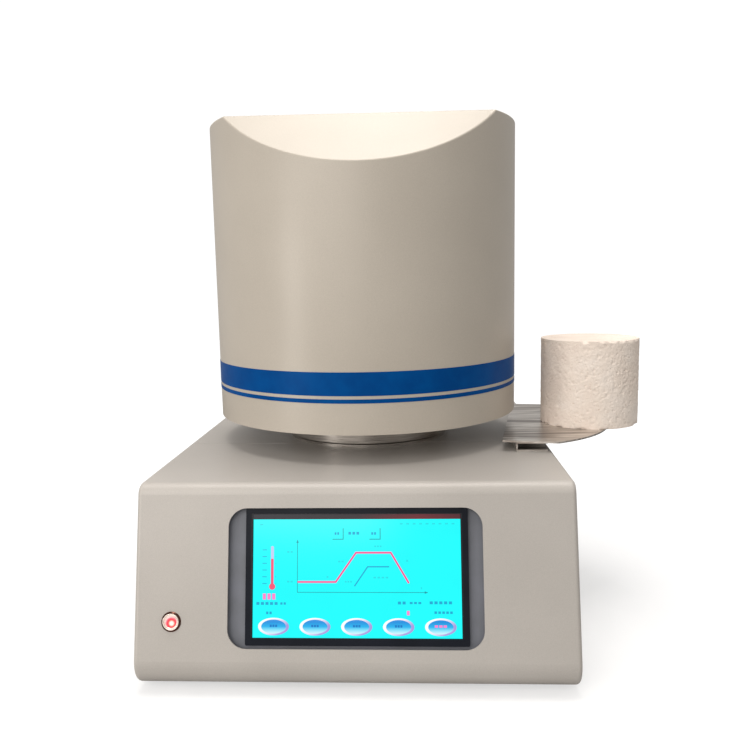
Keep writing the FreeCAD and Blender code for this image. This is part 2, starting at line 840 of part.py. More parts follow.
def top_plate():
    """Plate that ties the tops of the rods and holds the screw's upper bearing."""
    half = "carriage_deep / 2"
    plate = block(
        ("-carriage_half + 2", "carriage_half - 2"),
        (f"lift_back - {half}", f"lift_back + {half}"),
        ("rod_top - 8", "rod_top"),
    )
    holes = [cylinder(11, 12, 0, "lift_back", "rod_top - 10")]
    for side in ROD_SIDES:
        holes.append(cylinder("rod_radius", 12, side, "lift_back", "rod_top - 10"))
    keep(cut(plate, *holes), "top_plate")
    keep(tube(11, "screw_radius + running_play", 8, 0, "lift_back", "rod_top - 8"), "screw_bearing")


def lift_carriage():
    """Aluminium block on the head's plate; its bushes ride on the rods, its nut on the screw."""
    half = "carriage_deep / 2"
    top = f"{PLATE_TOP} + carriage_high"
    carriage = block(
        ("-carriage_half", "carriage_half"),
        (f"lift_back - {half}", f"lift_back + {half}"),
        (PLATE_TOP, top),
    )
    holes = [cylinder("nut_radius", "carriage_high + 4", 0, "lift_back", f"{PLATE_TOP} - 2")]
    bushes = []
    for side in ROD_SIDES:
        holes.append(cylinder("bush_radius", "carriage_high + 4", side, "lift_back", f"{PLATE_TOP} - 2"))
        bushes.append(
            tube("bush_radius", "rod_radius + running_play", "carriage_high", side, "lift_back", PLATE_TOP)
        )
    keep(cut(carriage, *holes), "lift_carriage")
    keep(together(*bushes), "carriage_bushes")
    barrel = cylinder("nut_radius", 30, 0, "lift_back", f"{top} - 30")
    flange = cylinder("nut_radius + 5", 5, 0, "lift_back", top)
    bore = cylinder("screw_radius + running_play", 40, 0, "lift_back", f"{top} - 32")
    keep(cut(fused(barrel, flange), bore), "lift_nut")


# ---------------------------------------------------------------- firing head


def head_solid(name, inset):
    """The round head with its slanted front cut, turned a little, drawn inwards by the given amount."""
    piece = body(name)
    place(piece, 0, "head_back", 0, turn=Rotation(Vector(0, 0, 1), amount("cut_turn")))
    PIECES.remove(piece)
    base = sketch(piece, "XY_Plane", "hood_bottom")
    draw_circle(base, 0, 0, f"hood_radius - ({inset})")
    pad(piece, base, f"hood_top - ({inset}) - hood_bottom")
    # the cut plane rises from the front; drawn a little beyond the head on every side
    slope = "tan(cut_angle)"
    drop = f"({inset}) / cos(cut_angle)"
    front = "-hood_radius - 20"
    back = f"-hood_radius + (hood_top + 40 - cut_front) / {slope}"
    side = sketch(piece, "YZ_Plane")
    draw_outline(
        side,
        (
            (front, f"cut_front - 20 * {slope} - ({drop})"),
            (back, f"hood_top + 40 - ({drop})"),
            (front, f"hood_top + 40 - ({drop})"),
        ),
    )
    pocket(piece, side, "3 * hood_radius", symmetric=True)
    return piece


def hood_shell():
    outer = head_solid("hood_outside", 0)
    rim = amount("hood_bottom") + 1

    def top_edge(edge):
        return edge.BoundBox.ZMin > rim and edge.Length > 60 and not seam(edge)

    round_edges(outer, "cut_round", top_edge)
    inner = head_solid("hood_inside", "sheet_thick")
    screws = [turn_outwards(cylinder(2.3, "hood_radius + 5"), angle, 0) for angle in HOOD_SCREW_ANGLES]
    return keep(cut(outer, inner, *screws), "hood_shell")


def seam(edge):
    """The straight upright seam that a closed round face carries."""
    return edge.BoundBox.XLength < 0.01 and edge.BoundBox.YLength < 0.01


def turn_outwards(piece, angle, start):
    """Lay a cylinder radially in the head's plate, from the given radius outwards."""
    turn = Rotation(Vector(0, 0, 1), angle) * TURNS["X"]
    direction = turn.multVec(Vector(0, 0, 1))
    centre = Vector(0, amount("head_back"), amount(HOOD_SCREW_UP))
    piece.Placement = MACHINE * Placement(centre + direction * amount(start), turn)
    return piece


def hood_screws():
    screws = []
    for angle in HOOD_SCREW_ANGLES:
        head = turn_outwards(cylinder(2.3, "sheet_thick - 0.2"), angle, "hood_radius - sheet_thick")
        shank = turn_outwards(cylinder(1.5, 10), angle, "hood_radius - sheet_thick - 10")
        screws.append(fused(head, shank))
    return keep(together(*screws), "hood_screws")


def colour_bands():
    """Two thin blue bands round the hood, a wide one above a narrow one."""
    inner = "hood_radius + 0.02"
    bands = [
        tube(f"{inner} + band_thick", inner, f"{name}_high - {name}_low", 0, "head_back", f"{name}_low")
        for name in ("wide_band", "thin_band")
    ]
    return keep(together(*bands), "colour_bands")


def hood_base_plate():
    """Thick disc that closes the head's underside and carries everything in it."""
    disc = cylinder("hood_radius - sheet_thick - 0.1", "plate_thick", 0, "head_back", "plate_bottom")
    holes = [cylinder("ring_bore + 2", "plate_thick + 4", 0, "head_back", "plate_bottom - 2")]
    holes.append(cylinder("nut_radius + 2", "plate_thick + 4", 0, "lift_back", "plate_bottom - 2"))
    for side in ROD_SIDES:
        holes.append(cylinder("rod_radius + 2", "plate_thick + 4", side, "lift_back", "plate_bottom - 2"))
    for angle in HOOD_SCREW_ANGLES:
        holes.append(turn_outwards(cylinder(1.5, 14), angle, "hood_radius - sheet_thick - 10"))
    return keep(cut(disc, *holes), "hood_base_plate")


def flange_ring():
    """Stainless ring under the head: its polished face closes on the platform's seal."""
    ring = body("flange_ring", MACHINE, 0, "head_back", 0)
    outline = sketch(ring, "XY_Plane", "ring_bottom")
    draw_circle(outline, 0, 0, "ring_radius")
    draw_circle(outline, 0, 0, "ring_bore")
    pad(ring, outline, "plate_bottom - ring_bottom")
    low = amount("ring_bottom")
    round_edges(ring, 0.8, lambda edge: edge.BoundBox.ZMax < low + 0.01 and edge.Length > 1)
    return ring


def vacuum_chamber():
    """Steel can over the muffle, closed by a bolted lid that passes the sensor and heater leads."""
    can = tube("ring_radius", "ring_radius - 1.5", f"chamber_top - ({PLATE_TOP})", 0, "head_back", PLATE_TOP)
    keep(can, "vacuum_chamber")
    lid = cylinder("ring_radius + 5", 4, 0, "head_back", "chamber_top")
    lead_hole = cylinder(2.7, 8, 0, "head_back", "chamber_top - 2")
    posts = [
        cylinder(2.5, 8, side, "head_back", "chamber_top - 2") for side in TERMINAL_SIDES
    ]
    keep(cut(lid, lead_hole, *posts), "chamber_lid")
    terminals = []
    for side in TERMINAL_SIDES:
        post = cylinder(2.5, 38, side, "head_back", "chamber_top - 20")
        washer = cylinder(5, 3, side, "head_back", "chamber_top + 4")
        nut = prism(6, 8, 3.5, side, "head_back", "chamber_top + 10")
        terminals.append(fused(post, washer, nut))
    keep(together(*terminals), "heater_terminals")


def insulation():
    """Ceramic fibre lining: a thick tube round the muffle and a plug of the same fibre above it."""
    outer = cylinder("ring_radius - 1.6", f"chamber_top - 0.1 - ({PLATE_TOP})", 0, "head_back", PLATE_TOP)
    low, length = "plate_bottom", "muffle_high + 2 - plate_bottom"
    bore = cylinder("coil_radius + coil_wire + 0.6", length, 0, "head_back", low)
    lead_hole = cylinder(2.7, 60, 0, "head_back", "muffle_high")
    posts = [cylinder(2.5, 30, side, "head_back", "chamber_top - 20") for side in TERMINAL_SIDES]
    return keep(cut(outer, bore, lead_hole, *posts), "fibre_lining")


def muffle_tube():
    wall = tube(
        "muffle_bore + muffle_wall",
        "muffle_bore",
        "muffle_high - muffle_low",
        0,
        "head_back",
        "muffle_low",
    )
    return keep(wall, "muffle_tube")


def heating_coil():
    """Resistance wire wound round the muffle tube."""
    pitch, turns = amount("coil_pitch"), amount("coil_turns")
    radius = amount("coil_radius")
    helix = Part.makeHelix(pitch, pitch * turns, radius)
    start = Vector(radius, 0, 0)
    climb = Vector(0, 2 * math.pi * radius, pitch)
    section = Part.Wire(Part.makeCircle(amount("coil_wire"), start, climb))
    coil = document.addObject("Part::Feature", "heating_coil")
    coil.Shape = Part.Wire(helix.Edges).makePipeShell([section], True, True)
    place(coil, 0, "head_back", "coil_low")
    return keep(coil, "heating_coil")


def thermocouple():
    """Ceramic sheathed sensor that hangs through the lid into the chamber, with a round head."""
    sheath = cylinder(2.5, 92, 0, "head_back", "chamber_top + 4 - 62")
    head = cylinder(8, 14, 0, "head_back", "chamber_top + 4")
    return keep(fused(sheath, head), "thermocouple")


# ---------------------------------------------------------------- cooling tray and plug


def tray_plate():
    """Cooling tray: a stainless sheet, turned to follow the head, straight but for its round right side."""
    plate = body("tray_plate")
    turn = Rotation(Vector(0, 0, 1), -amount("tray_turn"))
    place(plate, "tray_left", "tray_front", "tray_top - sheet_thick", turn=turn)
    outline = sketch(plate, "XY_Plane")
    depth = amount("tray_depth")
    chord = amount("sqrt(pow(tray_radius, 2) - pow(tray_depth / 2, 2)) - tray_inset")
    centre = Vector(-amount("tray_inset"), depth / 2, 0)
    corners = (Vector(0, 0, 0), Vector(chord, 0, 0), Vector(chord, depth, 0), Vector(0, depth, 0))
    half_angle = math.atan2(depth / 2, chord - centre.x)
    circle = Part.Circle(centre, Vector(0, 0, 1), amount("tray_radius"))
    front = outline.addGeometry(Part.LineSegment(corners[0], corners[1]), False)
    arc = outline.addGeometry(Part.ArcOfCircle(circle, -half_angle, half_angle), False)
    rear = outline.addGeometry(Part.LineSegment(corners[2], corners[3]), False)
    left = outline.addGeometry(Part.LineSegment(corners[3], corners[0]), False)
    for this_edge, next_edge in ((front, arc), (arc, rear), (rear, left), (left, front)):
        outline.addConstraint(Sketcher.Constraint("Coincident", this_edge, 2, next_edge, 1))
    outline.addConstraint(Sketcher.Constraint("Horizontal", front))
    outline.addConstraint(Sketcher.Constraint("Horizontal", rear))
    outline.addConstraint(Sketcher.Constraint("Vertical", left))
    pin_point(outline, front, 1, 0, 0)
    pin_point(outline, arc, 3, "-tray_inset", "tray_depth / 2")
    index = outline.addConstraint(Sketcher.Constraint("Radius", arc, amount("tray_radius")))
    bind(outline, f"Constraints[{index}]", "tray_radius")
    index = outline.addConstraint(Sketcher.Constraint("DistanceY", -1, 1, rear, 1, depth))
    bind(outline, f"Constraints[{index}]", "tray_depth")
    pad(plate, outline, "sheet_thick")
    round_edges(plate, 2, lambda edge: edge.BoundBox.ZLength > 1 and edge.BoundBox.XLength < 0.05)
    return plate


def tray_bracket():
    """Channel bent from sheet: its lower leg is screwed to the deck, its upper leg carries the tray."""
    bracket = body("tray_bracket_sheet")
    PIECES.remove(bracket)
    profile = sketch(bracket, "XZ_Plane", "-bracket_front")
    top = "tray_top - sheet_thick"
    right = "bracket_left + bracket_width"
    inner = "bracket_left + sheet_thick"
    draw_outline(
        profile,
        (
            ("bracket_left", "base_height"),
            (right, "base_height"),
            (right, "base_height + sheet_thick"),
            (inner, "base_height + sheet_thick"),
            (inner, f"{top} - sheet_thick"),
            (right, f"{top} - sheet_thick"),
            (right, top),
            ("bracket_left", top),
        ),
    )
    pad(bracket, profile, "bracket_rear - bracket_front", backwards=True)
    round_edges(bracket, 1.3, lambda edge: edge_at(x="bracket_left")(edge) and edge.BoundBox.YLength > 5)
    holes = [cylinder(2, 6, TRAY_SCREW_ACROSS, back, "base_height - 1") for back in TRAY_SCREW_BACKS]
    return keep(cut(bracket, *holes), "tray_bracket")


def tray_screws():
    screws = []
    for back in TRAY_SCREW_BACKS:
        head = cylinder(3.6, 2.2, TRAY_SCREW_ACROSS, back, "base_height + sheet_thick")
        shank = cylinder(2, 10, TRAY_SCREW_ACROSS, back, "base_height + sheet_thick - 10")
        nut = prism(6, 7, 3, TRAY_SCREW_ACROSS, back, "base_height - sheet_thick - 3")
        screws.append(fused(head, shank, nut))
    return keep(together(*screws), "tray_screws")


def fibre_plug():
    """Round firing plug of pressed ceramic fibre, parked on the tray to cool."""
    plug = body("fibre_plug", MACHINE, "plug_right", "plug_back", "tray_top")
    outline = sketch(plug, "XY_Plane")
    draw_circle(outline, 0, 0, "plug_radius")
    pad(plug, outline, "plug_height")
    round_edges(plug, 1.5, lambda edge: edge.Length > 100)
    return plug


# ---------------------------------------------------------------- inside the console


def transformer():
    """Ring transformer on the pan, clamped by a dished washer and a bolt."""
    ring = body("transformer", MACHINE, 88, 92, "sheet_thick")
    outline = sketch(ring, "XY_Plane")
    draw_circle(outline, 0, 0, 40)
    draw_circle(outline, 0, 0, 13)
    pad(ring, outline, 38)
    round_edges(ring, 7, lambda edge: edge.Length > 60 and not seam(edge))
    return ring


def power_board():
    """Power board with its heater relay, fuse block and screw terminals."""
    low = "sheet_thick + standoff_length"
    top = f"{low} + board_thick"
    board = block((-153, -57), (57, 137), (low, top))
    parts = [
        block((-145, -100), (70, 100), (top, f"{top} + 26")),
        block((-92, -66), (64, 96), (top, f"{top} + 18")),
        block((-140, -66), (112, 124), (top, f"{top} + 14")),
    ]
    return keep(fused(board, *parts), "power_board")


def vacuum_line():
    """Solenoid valve on the pan and the two hoses that join it to the platform and the rear port."""
    low = "port_up"
    bottom = "port_up - 12"
    top = "port_up + 12"
    valve_across = span(VALVE_RIGHT, 14)
    valve = fused(
        block(valve_across, (VALVE_BACK - 16, VALVE_BACK + 16), (bottom, top)),
        cylinder(13, 34, VALVE_RIGHT, VALVE_BACK, top),
        cylinder(4, 10, VALVE_RIGHT, VALVE_BACK - 26, low, axis="Y"),
        cylinder(4, 10, VALVE_RIGHT, VALVE_BACK + 16, low, axis="Y"),
        block(valve_across, (VALVE_BACK - 12, VALVE_BACK + 12), ("sheet_thick", bottom)),
    )
    keep(valve, "vacuum_valve")
    spigot_end = "base_height - spigot_length"
    hose(
        "vacuum_hose_front",
        (
            (0, "head_back", spigot_end),
            (0, "head_back", f"{spigot_end} - 46"),
            (VALVE_RIGHT, 172, low),
            (VALVE_RIGHT, VALVE_BACK - 26, low),
        ),
        5,
        "vacuum_bore",
        20,
    )
    hose(
        "vacuum_hose_rear",
        ((VALVE_RIGHT, VALVE_BACK + 26, low), (VALVE_RIGHT, "base_depth - sheet_thick - 18", low)),
        5,
        "vacuum_bore",
        16,
    )


# ---------------------------------------------------------------- rear panel


def vacuum_port():
    """Outlet for the pump: a hexagon body with a plain stem outside and a hose stem inside."""
    left, up = "-port_left", "port_up"
    piece = fused(
        cylinder("port_stem + 1", "sheet_thick", left, INNER_WALL, up, axis="Y"),
        prism(6, 14, 5, left, "base_depth", up, axis="Y"),
        cylinder("port_stem", 18, left, "base_depth + 5", up, axis="Y"),
        prism(6, 14, 4, left, f"{INNER_WALL} - 4", up, axis="Y"),
        cylinder("vacuum_bore + 1", 14, left, f"{INNER_WALL} - 18", up, axis="Y"),
    )
    bore = cylinder("vacuum_bore - 0.8", 60, left, f"{INNER_WALL} - 20", up, axis="Y")
    return keep(cut(piece, bore), "vacuum_port")


def fan_frame():
    """Square frame of the cooling fan, with its round duct and motor spider."""
    half = "fan_side / 2"
    front = f"{INNER_WALL} - fan_deep"
    frame = body("fan_frame_shell")
    PIECES.remove(frame)
    square = sketch(frame, "XZ_Plane", f"-({front})")
    draw_rectangle(square, span("fan_right", half), span("fan_up", half))
    pad(frame, square, "fan_deep", backwards=True)
    round_edges(frame, 4, lambda edge: edge.BoundBox.YLength > 10)
    duct = cylinder("rotor_radius + 2", "fan_deep + 2", "fan_right", f"{front} - 1", "fan_up", axis="Y")
    holes = [
        cylinder(2.15, "fan_deep + 2", across, f"{front} - 1", upright, axis="Y")
        for across, upright in fan_corners()
    ]
    hub = cylinder("hub_radius", 3, "fan_right", front, "fan_up", axis="Y")
    spindle = cylinder(2.5, "fan_deep - 6", "fan_right", front, "fan_up", axis="Y")
    arms = []
    for turn in (30, 150, 270):
        arm = document.addObject("Part::Box", "spider_arm")
        bind(arm, "Length", "rotor_radius - hub_radius + 6")
        bind(arm, "Width", 3)
        bind(arm, "Height", 4)
        around = turned_about_fan(front, turn)
        arm.Placement = around * Placement(Vector(amount("hub_radius - 2"), 0, -2), Rotation())
        arms.append(arm)
    return keep(fused(cut(frame, duct, *holes), hub, spindle, *arms), "fan_frame")


def turned_about_fan(back, angle):
    """The frame of a piece turned about the fan's axis, at the given distance back."""
    centre = Vector(amount("fan_right"), amount(back), amount("fan_up"))
    return MACHINE * Placement(centre, Rotation(Vector(0, 1, 0), angle))


def fan_corners():
    for across in (-35.75, 35.75):
        for upright in (-35.75, 35.75):
            yield f"fan_right + {across}", f"fan_up + {upright}"


def fan_rotor():
    """Hub cup and seven pitched blades that turn on the frame's spindle."""
    front = f"{INNER_WALL} - fan_deep + 4"
    hub = cylinder("hub_radius", "fan_deep - 8", "fan_right", front, "fan_up", axis="Y")
    bore = cylinder("2.5 + running_play", "fan_deep", "fan_right", f"{front} - 1", "fan_up", axis="Y")
    blades = []
    for number in range(7):
        blade = document.addObject("Part::Box", "blade")
        bind(blade, "Length", "rotor_radius - hub_radius + 1")
        bind(blade, "Width", 1.4)
        bind(blade, "Height", 20)
        around = turned_about_fan(front, number * 360 / 7)
        tilt = Rotation(Vector(1, 0, 0), 52)
        outward = Placement(Vector(amount("hub_radius - 1.5"), 2, 0), tilt)
        centred = Placement(Vector(0, -0.7, -10), Rotation())
        lift = Placement(Vector(0, amount("fan_deep - 8") / 2 - 2, 0), Rotation())
        blade.Placement = around * lift * outward * centred
        blades.append(blade)
    return keep(cut(fused(hub, *blades), bore), "fan_rotor")


def fan_guard():
    """Wire finger guard outside the back wall: rings on two bars, with screw eyes."""
    wires = []
    for radius in (9, 17, 25, 33, 40):
        wires.append(torus(radius, 1, "fan_right", "base_depth + 2.6", "fan_up", axis="Y"))
    for turn in (45, 135):
        bar = document.addObject("Part::Cylinder", "guard_bar")
        bind(bar, "Radius", 1)
        bind(bar, "Height", 96)
        bar.Placement = turned_about_fan("base_depth + 1.2", turn) * Placement(Vector(0, 0, -48), Rotation())
        wires.append(bar)
    for across, upright in fan_corners():
        wires.append(tube(4, 2.15, 1.6, across, "base_depth", upright, axis="Y"))
    return keep(fused(*wires), "fan_guard")


def power_inlet():
    """Appliance inlet: flanged body with a deep socket and three blades, and no lead."""
    left, up = "-inlet_left", "inlet_up"
    back = "base_depth"

    def plate(half_across, half_up, low, high, across=0, raised=0):
        middle, level = f"{left} + ({across})", f"{up} + ({raised})"
        along = (f"{back} + ({low})", f"{back} + ({high})")
        return block(span(middle, half_across), along, span(level, half_up))

    shell = fused(plate(25, 13, 0, 3), plate(13.8, 10, -22, 0.5))
    socket = plate(12, 8.4, -17, 4)
    screw_holes = [cylinder(1.7, 6, f"{left} + {across}", back, up, axis="Y") for across in (-20, 20)]
    blades = [plate(1, 2, -17.5, -2, across, raised) for across, raised in ((-7, -2), (7, -2), (0, 2))]
    return keep(fused(cut(shell, socket, *screw_holes), *blades), "power_inlet")


def power_switch():
    """Rocker switch: a flanged housing and the rocker that tips in it about a level pin."""
    left, up, back = "-inlet_left", "switch_up", "base_depth"
    flange = block(span(left, 11), (back, f"{back} + 2"), span(up, 15.5))
    case = block(span(left, 9.7), (f"{back} - 20", back), span(up, 14))
    hole = block(span(left, 8.7), (f"{back} - 14", f"{back} + 3"), span(up, 13.6))
    keep(cut(fused(flange, case), hole), "switch_housing")

    rocker = body("switch_rocker", MACHINE, left, f"{back} - 3.5", up)
    tilt = Rotation(Vector(1, 0, 0), -amount("rocker_tilt"))
    place(rocker, left, f"{back} - 3.5", up, MACHINE, tilt)
    profile = sketch(rocker, "YZ_Plane")
    draw_outline(profile, ((-5, -6), (-5, 6), (0, 12), (6.5, 12.2), (4.2, 0), (6.5, -12.2), (0, -12)))
    pad(rocker, profile, 17, symmetric=True)
    return rocker


def fuse_holders():
    holders = []
    for up in FUSE_HEIGHTS:
        barrel = cylinder(FUSE_RADIUS, 30, FUSE_ACROSS, "base_depth - 30", up, axis="Y")
        cap = cylinder(7.5, 7, FUSE_ACROSS, "base_depth", up, axis="Y")
        slot = block(span(FUSE_ACROSS, 5), ("base_depth + 5.5", "base_depth + 8"), span(up, 0.8))
        holders.append(cut(fused(barrel, cap), slot))
    return keep(together(*holders), "fuse_holders")


# ---------------------------------------------------------------- build, check and write


def build():
    front_cover()
    rear_cover()
    base_pan()
    rubber_feet()
    cover_screws()
    display_inset()
    display_frame()
    display_screen()
    control_board()
    display_screws()
    board_standoffs()
    power_button()
    firing_platform()
    deck_plate()
    deck_posts()
    lift_motor()
    screw_train()
    guide_rods()
    top_plate()
    lift_carriage()
    hood_shell()
    hood_screws()
    colour_bands()
    hood_base_plate()
    flange_ring()
    vacuum_chamber()
    insulation()
    muffle_tube()
    heating_coil()
    thermocouple()
    tray_plate()
    tray_bracket()
    tray_screws()
    fibre_plug()
    transformer()
    power_board()
    vacuum_line()
    vacuum_port()
    fan_frame()
    fan_rotor()
    fan_guard()
    power_inlet()
    power_switch()
    fuse_holders()


def check():
    document.recompute()
    for piece in document.Objects:
        if {"Invalid", "Error"} & set(piece.State):
            raise RuntimeError(f"{piece.Label} did not compute")
    for piece in PIECES:
        if piece.Shape.isNull() or not piece.Shape.isValid():
            raise RuntimeError(f"{piece.Label} has no valid shape")


def write():
    os.makedirs("parts", exist_ok=True)
    for piece in PIECES:
        piece.Shape.exportStep(f"parts/{piece.Label}.step")
        shape = piece.Shape
        print(f"{piece.Label:20s} solids {len(shape.Solids)}  volume {shape.Volume / 1000:.1f} cm3")


build()
check()
write()
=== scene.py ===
import json
import math
import random

import bmesh
import bpy
from mathutils import Matrix, Vector, noise


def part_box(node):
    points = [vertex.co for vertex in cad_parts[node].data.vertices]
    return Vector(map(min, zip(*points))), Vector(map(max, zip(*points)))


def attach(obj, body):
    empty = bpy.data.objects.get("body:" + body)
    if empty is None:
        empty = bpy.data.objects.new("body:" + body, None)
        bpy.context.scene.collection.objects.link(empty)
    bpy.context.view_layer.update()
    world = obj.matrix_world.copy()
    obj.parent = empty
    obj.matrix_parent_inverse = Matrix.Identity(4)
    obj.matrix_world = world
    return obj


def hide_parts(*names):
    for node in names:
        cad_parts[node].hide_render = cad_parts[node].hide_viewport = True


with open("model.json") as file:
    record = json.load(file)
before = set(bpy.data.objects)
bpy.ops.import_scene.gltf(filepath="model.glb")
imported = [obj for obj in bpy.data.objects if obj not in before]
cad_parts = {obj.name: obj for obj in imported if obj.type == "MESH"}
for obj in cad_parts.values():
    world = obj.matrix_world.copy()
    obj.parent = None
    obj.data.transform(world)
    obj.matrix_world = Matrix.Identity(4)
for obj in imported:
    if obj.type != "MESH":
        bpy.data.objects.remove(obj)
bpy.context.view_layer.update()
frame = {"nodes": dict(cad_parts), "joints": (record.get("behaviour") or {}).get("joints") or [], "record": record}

# A bench-top vacuum furnace for porcelain: console with a leaning touch screen, round firing head,
# cooling tray with a parked fibre plug. Metres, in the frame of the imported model: +X right, +Y to the
# back, +Z up, origin on the bench under the middle of the console.

NODES = frame["nodes"]
JOINTS = {joint["name"]: joint for joint in frame["joints"]}
MM = 0.001


# ---------------------------------------------------------------- camera, light and floor

CAMERA_PLACE = Vector((0.0479, -0.7218, 0.3088))
CAMERA_YAW = 0.0545
CAMERA_PITCH = 0.1352
CAMERA_ROLL = 0.0203
CAMERA_LENS = 37.16
CAMERA_SENSOR = 36.0
FLOOR_REACH = 1.2
FLOOR_NEAR, FLOOR_FAR = 0.16, 0.7
SURROUND_SEEN, SURROUND_LIGHT = 1.05, 0.55


def make_camera():
    """A level look ahead, turned left by the yaw, down by the pitch and rolled about its own axis."""
    data = bpy.data.cameras.new("camera")
    data.lens = CAMERA_LENS
    data.sensor_width = CAMERA_SENSOR
    data.clip_start, data.clip_end = 0.01, 50
    camera = bpy.data.objects.new("camera", data)
    bpy.context.scene.collection.objects.link(camera)
    turn = Matrix.Rotation(CAMERA_YAW, 4, "Z") @ Matrix.Rotation(math.pi / 2 - CAMERA_PITCH, 4, "X")
    camera.matrix_world = Matrix.Translation(CAMERA_PLACE) @ turn @ Matrix.Rotation(-CAMERA_ROLL, 4, "Z")
    bpy.context.scene.camera = camera


def area_light(name, place, target, size, power, colour):
    data = bpy.data.lights.new(name, "AREA")
    data.shape = "RECTANGLE"
    data.size, data.size_y = size
    data.energy = power
    data.color = colour
    light = bpy.data.objects.new(name, data)
    bpy.context.scene.collection.objects.link(light)
    light.location = place
    light.rotation_mode = "QUATERNION"
    light.rotation_quaternion = (Vector(target) - Vector(place)).to_track_quat("-Z", "Y")


def light_scene():
    """A broad key and a low strip from the left front, a large box above, and a white surround."""
    scene = bpy.context.scene
    scene.view_settings.view_transform = "Standard"
    area_light("key_light", (-0.65, -1.5, 0.95), (0, 0, 0.2), (1.5, 1.2), 14.5, (1.0, 0.97, 0.94))
    area_light("low_strip", (-1.1, -0.95, 0.2), (0, 0.2, 0.17), (0.14, 0.5), 3.6, (1.0, 0.97, 0.94))
    area_light("top_light", (-0.05, 0.05, 1.8), (0, 0, 0.2), (1.2, 1.0), 20.5, (1.0, 0.975, 0.95))
    world = bpy.data.worlds.new("studio")
    scene.world = world
    world.use_nodes = True
    nodes, links = world.node_tree.nodes, world.node_tree.links
    seen = nodes["Background"]
    seen.inputs["Color"].default_value = (1, 1, 1, 1)
    seen.inputs["Strength"].default_value = SURROUND_SEEN
    surround = nodes.new("ShaderNodeBackground")
    surround.inputs["Color"].default_value = (1.0, 0.985, 0.965, 1)
    surround.inputs["Strength"].default_value = SURROUND_LIGHT
    either = nodes.new("ShaderNodeMixShader")
    links.new(nodes.new("ShaderNodeLightPath").outputs["Is Camera Ray"], either.inputs[0])
    links.new(surround.outputs[0], either.inputs[1])
    links.new(seen.outputs[0], either.inputs[2])
    links.new(either.outputs[0], nodes["World Output"].inputs["Surface"])


def make_floor():
    """A pale floor that turns, with the distance from the object, into the white of the surround."""
    corners = [(x * FLOOR_REACH, y * FLOOR_REACH, 0) for x, y in ((-1, -1), (1, -1), (1, 1), (-1, 1))]
    mesh = bpy.data.meshes.new("floor")
    mesh.from_pydata(corners, [], [(0, 1, 2, 3)])
    floor = bpy.data.objects.new("floor", mesh)
    bpy.context.scene.collection.objects.link(floor)
    paper = Surface("floor_paper", Roughness=1.0, Specular_IOR_Level=0.0, Emission_Strength=1.0)
    away = paper.node("VectorMath", settings={"operation": "LENGTH"}, out="Value", Vector=paper.place)
    share = paper.between(away, 0.0, 1.0, FLOOR_NEAR, FLOOR_FAR)
    grain = paper.ramp(paper.noise(0.02, detail=3), (0.3, (0.5, 0.495, 0.49)), (0.7, (0.53, 0.525, 0.52)))
    paper.colour(paper.node("MixRGB", Fac=share, Color1=grain, Color2=(0.1, 0.1, 0.1)))
    glow = paper.ramp(share, (0.0, (0.5, 0.5, 0.5)), (0.6, (0.85, 0.85, 0.85)), (1.0, (1.1, 1.1, 1.1)))
    seen = paper.node("LightPath", out="Is Camera Ray")
    paper.emission(paper.node("MixRGB", Fac=seen, Color1=(0.05, 0.05, 0.05), Color2=glow))
    mesh.materials.append(paper.material)


# ---------------------------------------------------------------- materials


def srgb(red, green, blue):
    """A colour given as the eye sees it, 0 to 255, as the linear value that a shader takes."""
    return tuple(
        (level / 255 / 12.92) if level <= 10 else ((level / 255 + 0.055) / 1.055) ** 2.4
        for level in (red, green, blue)
    )


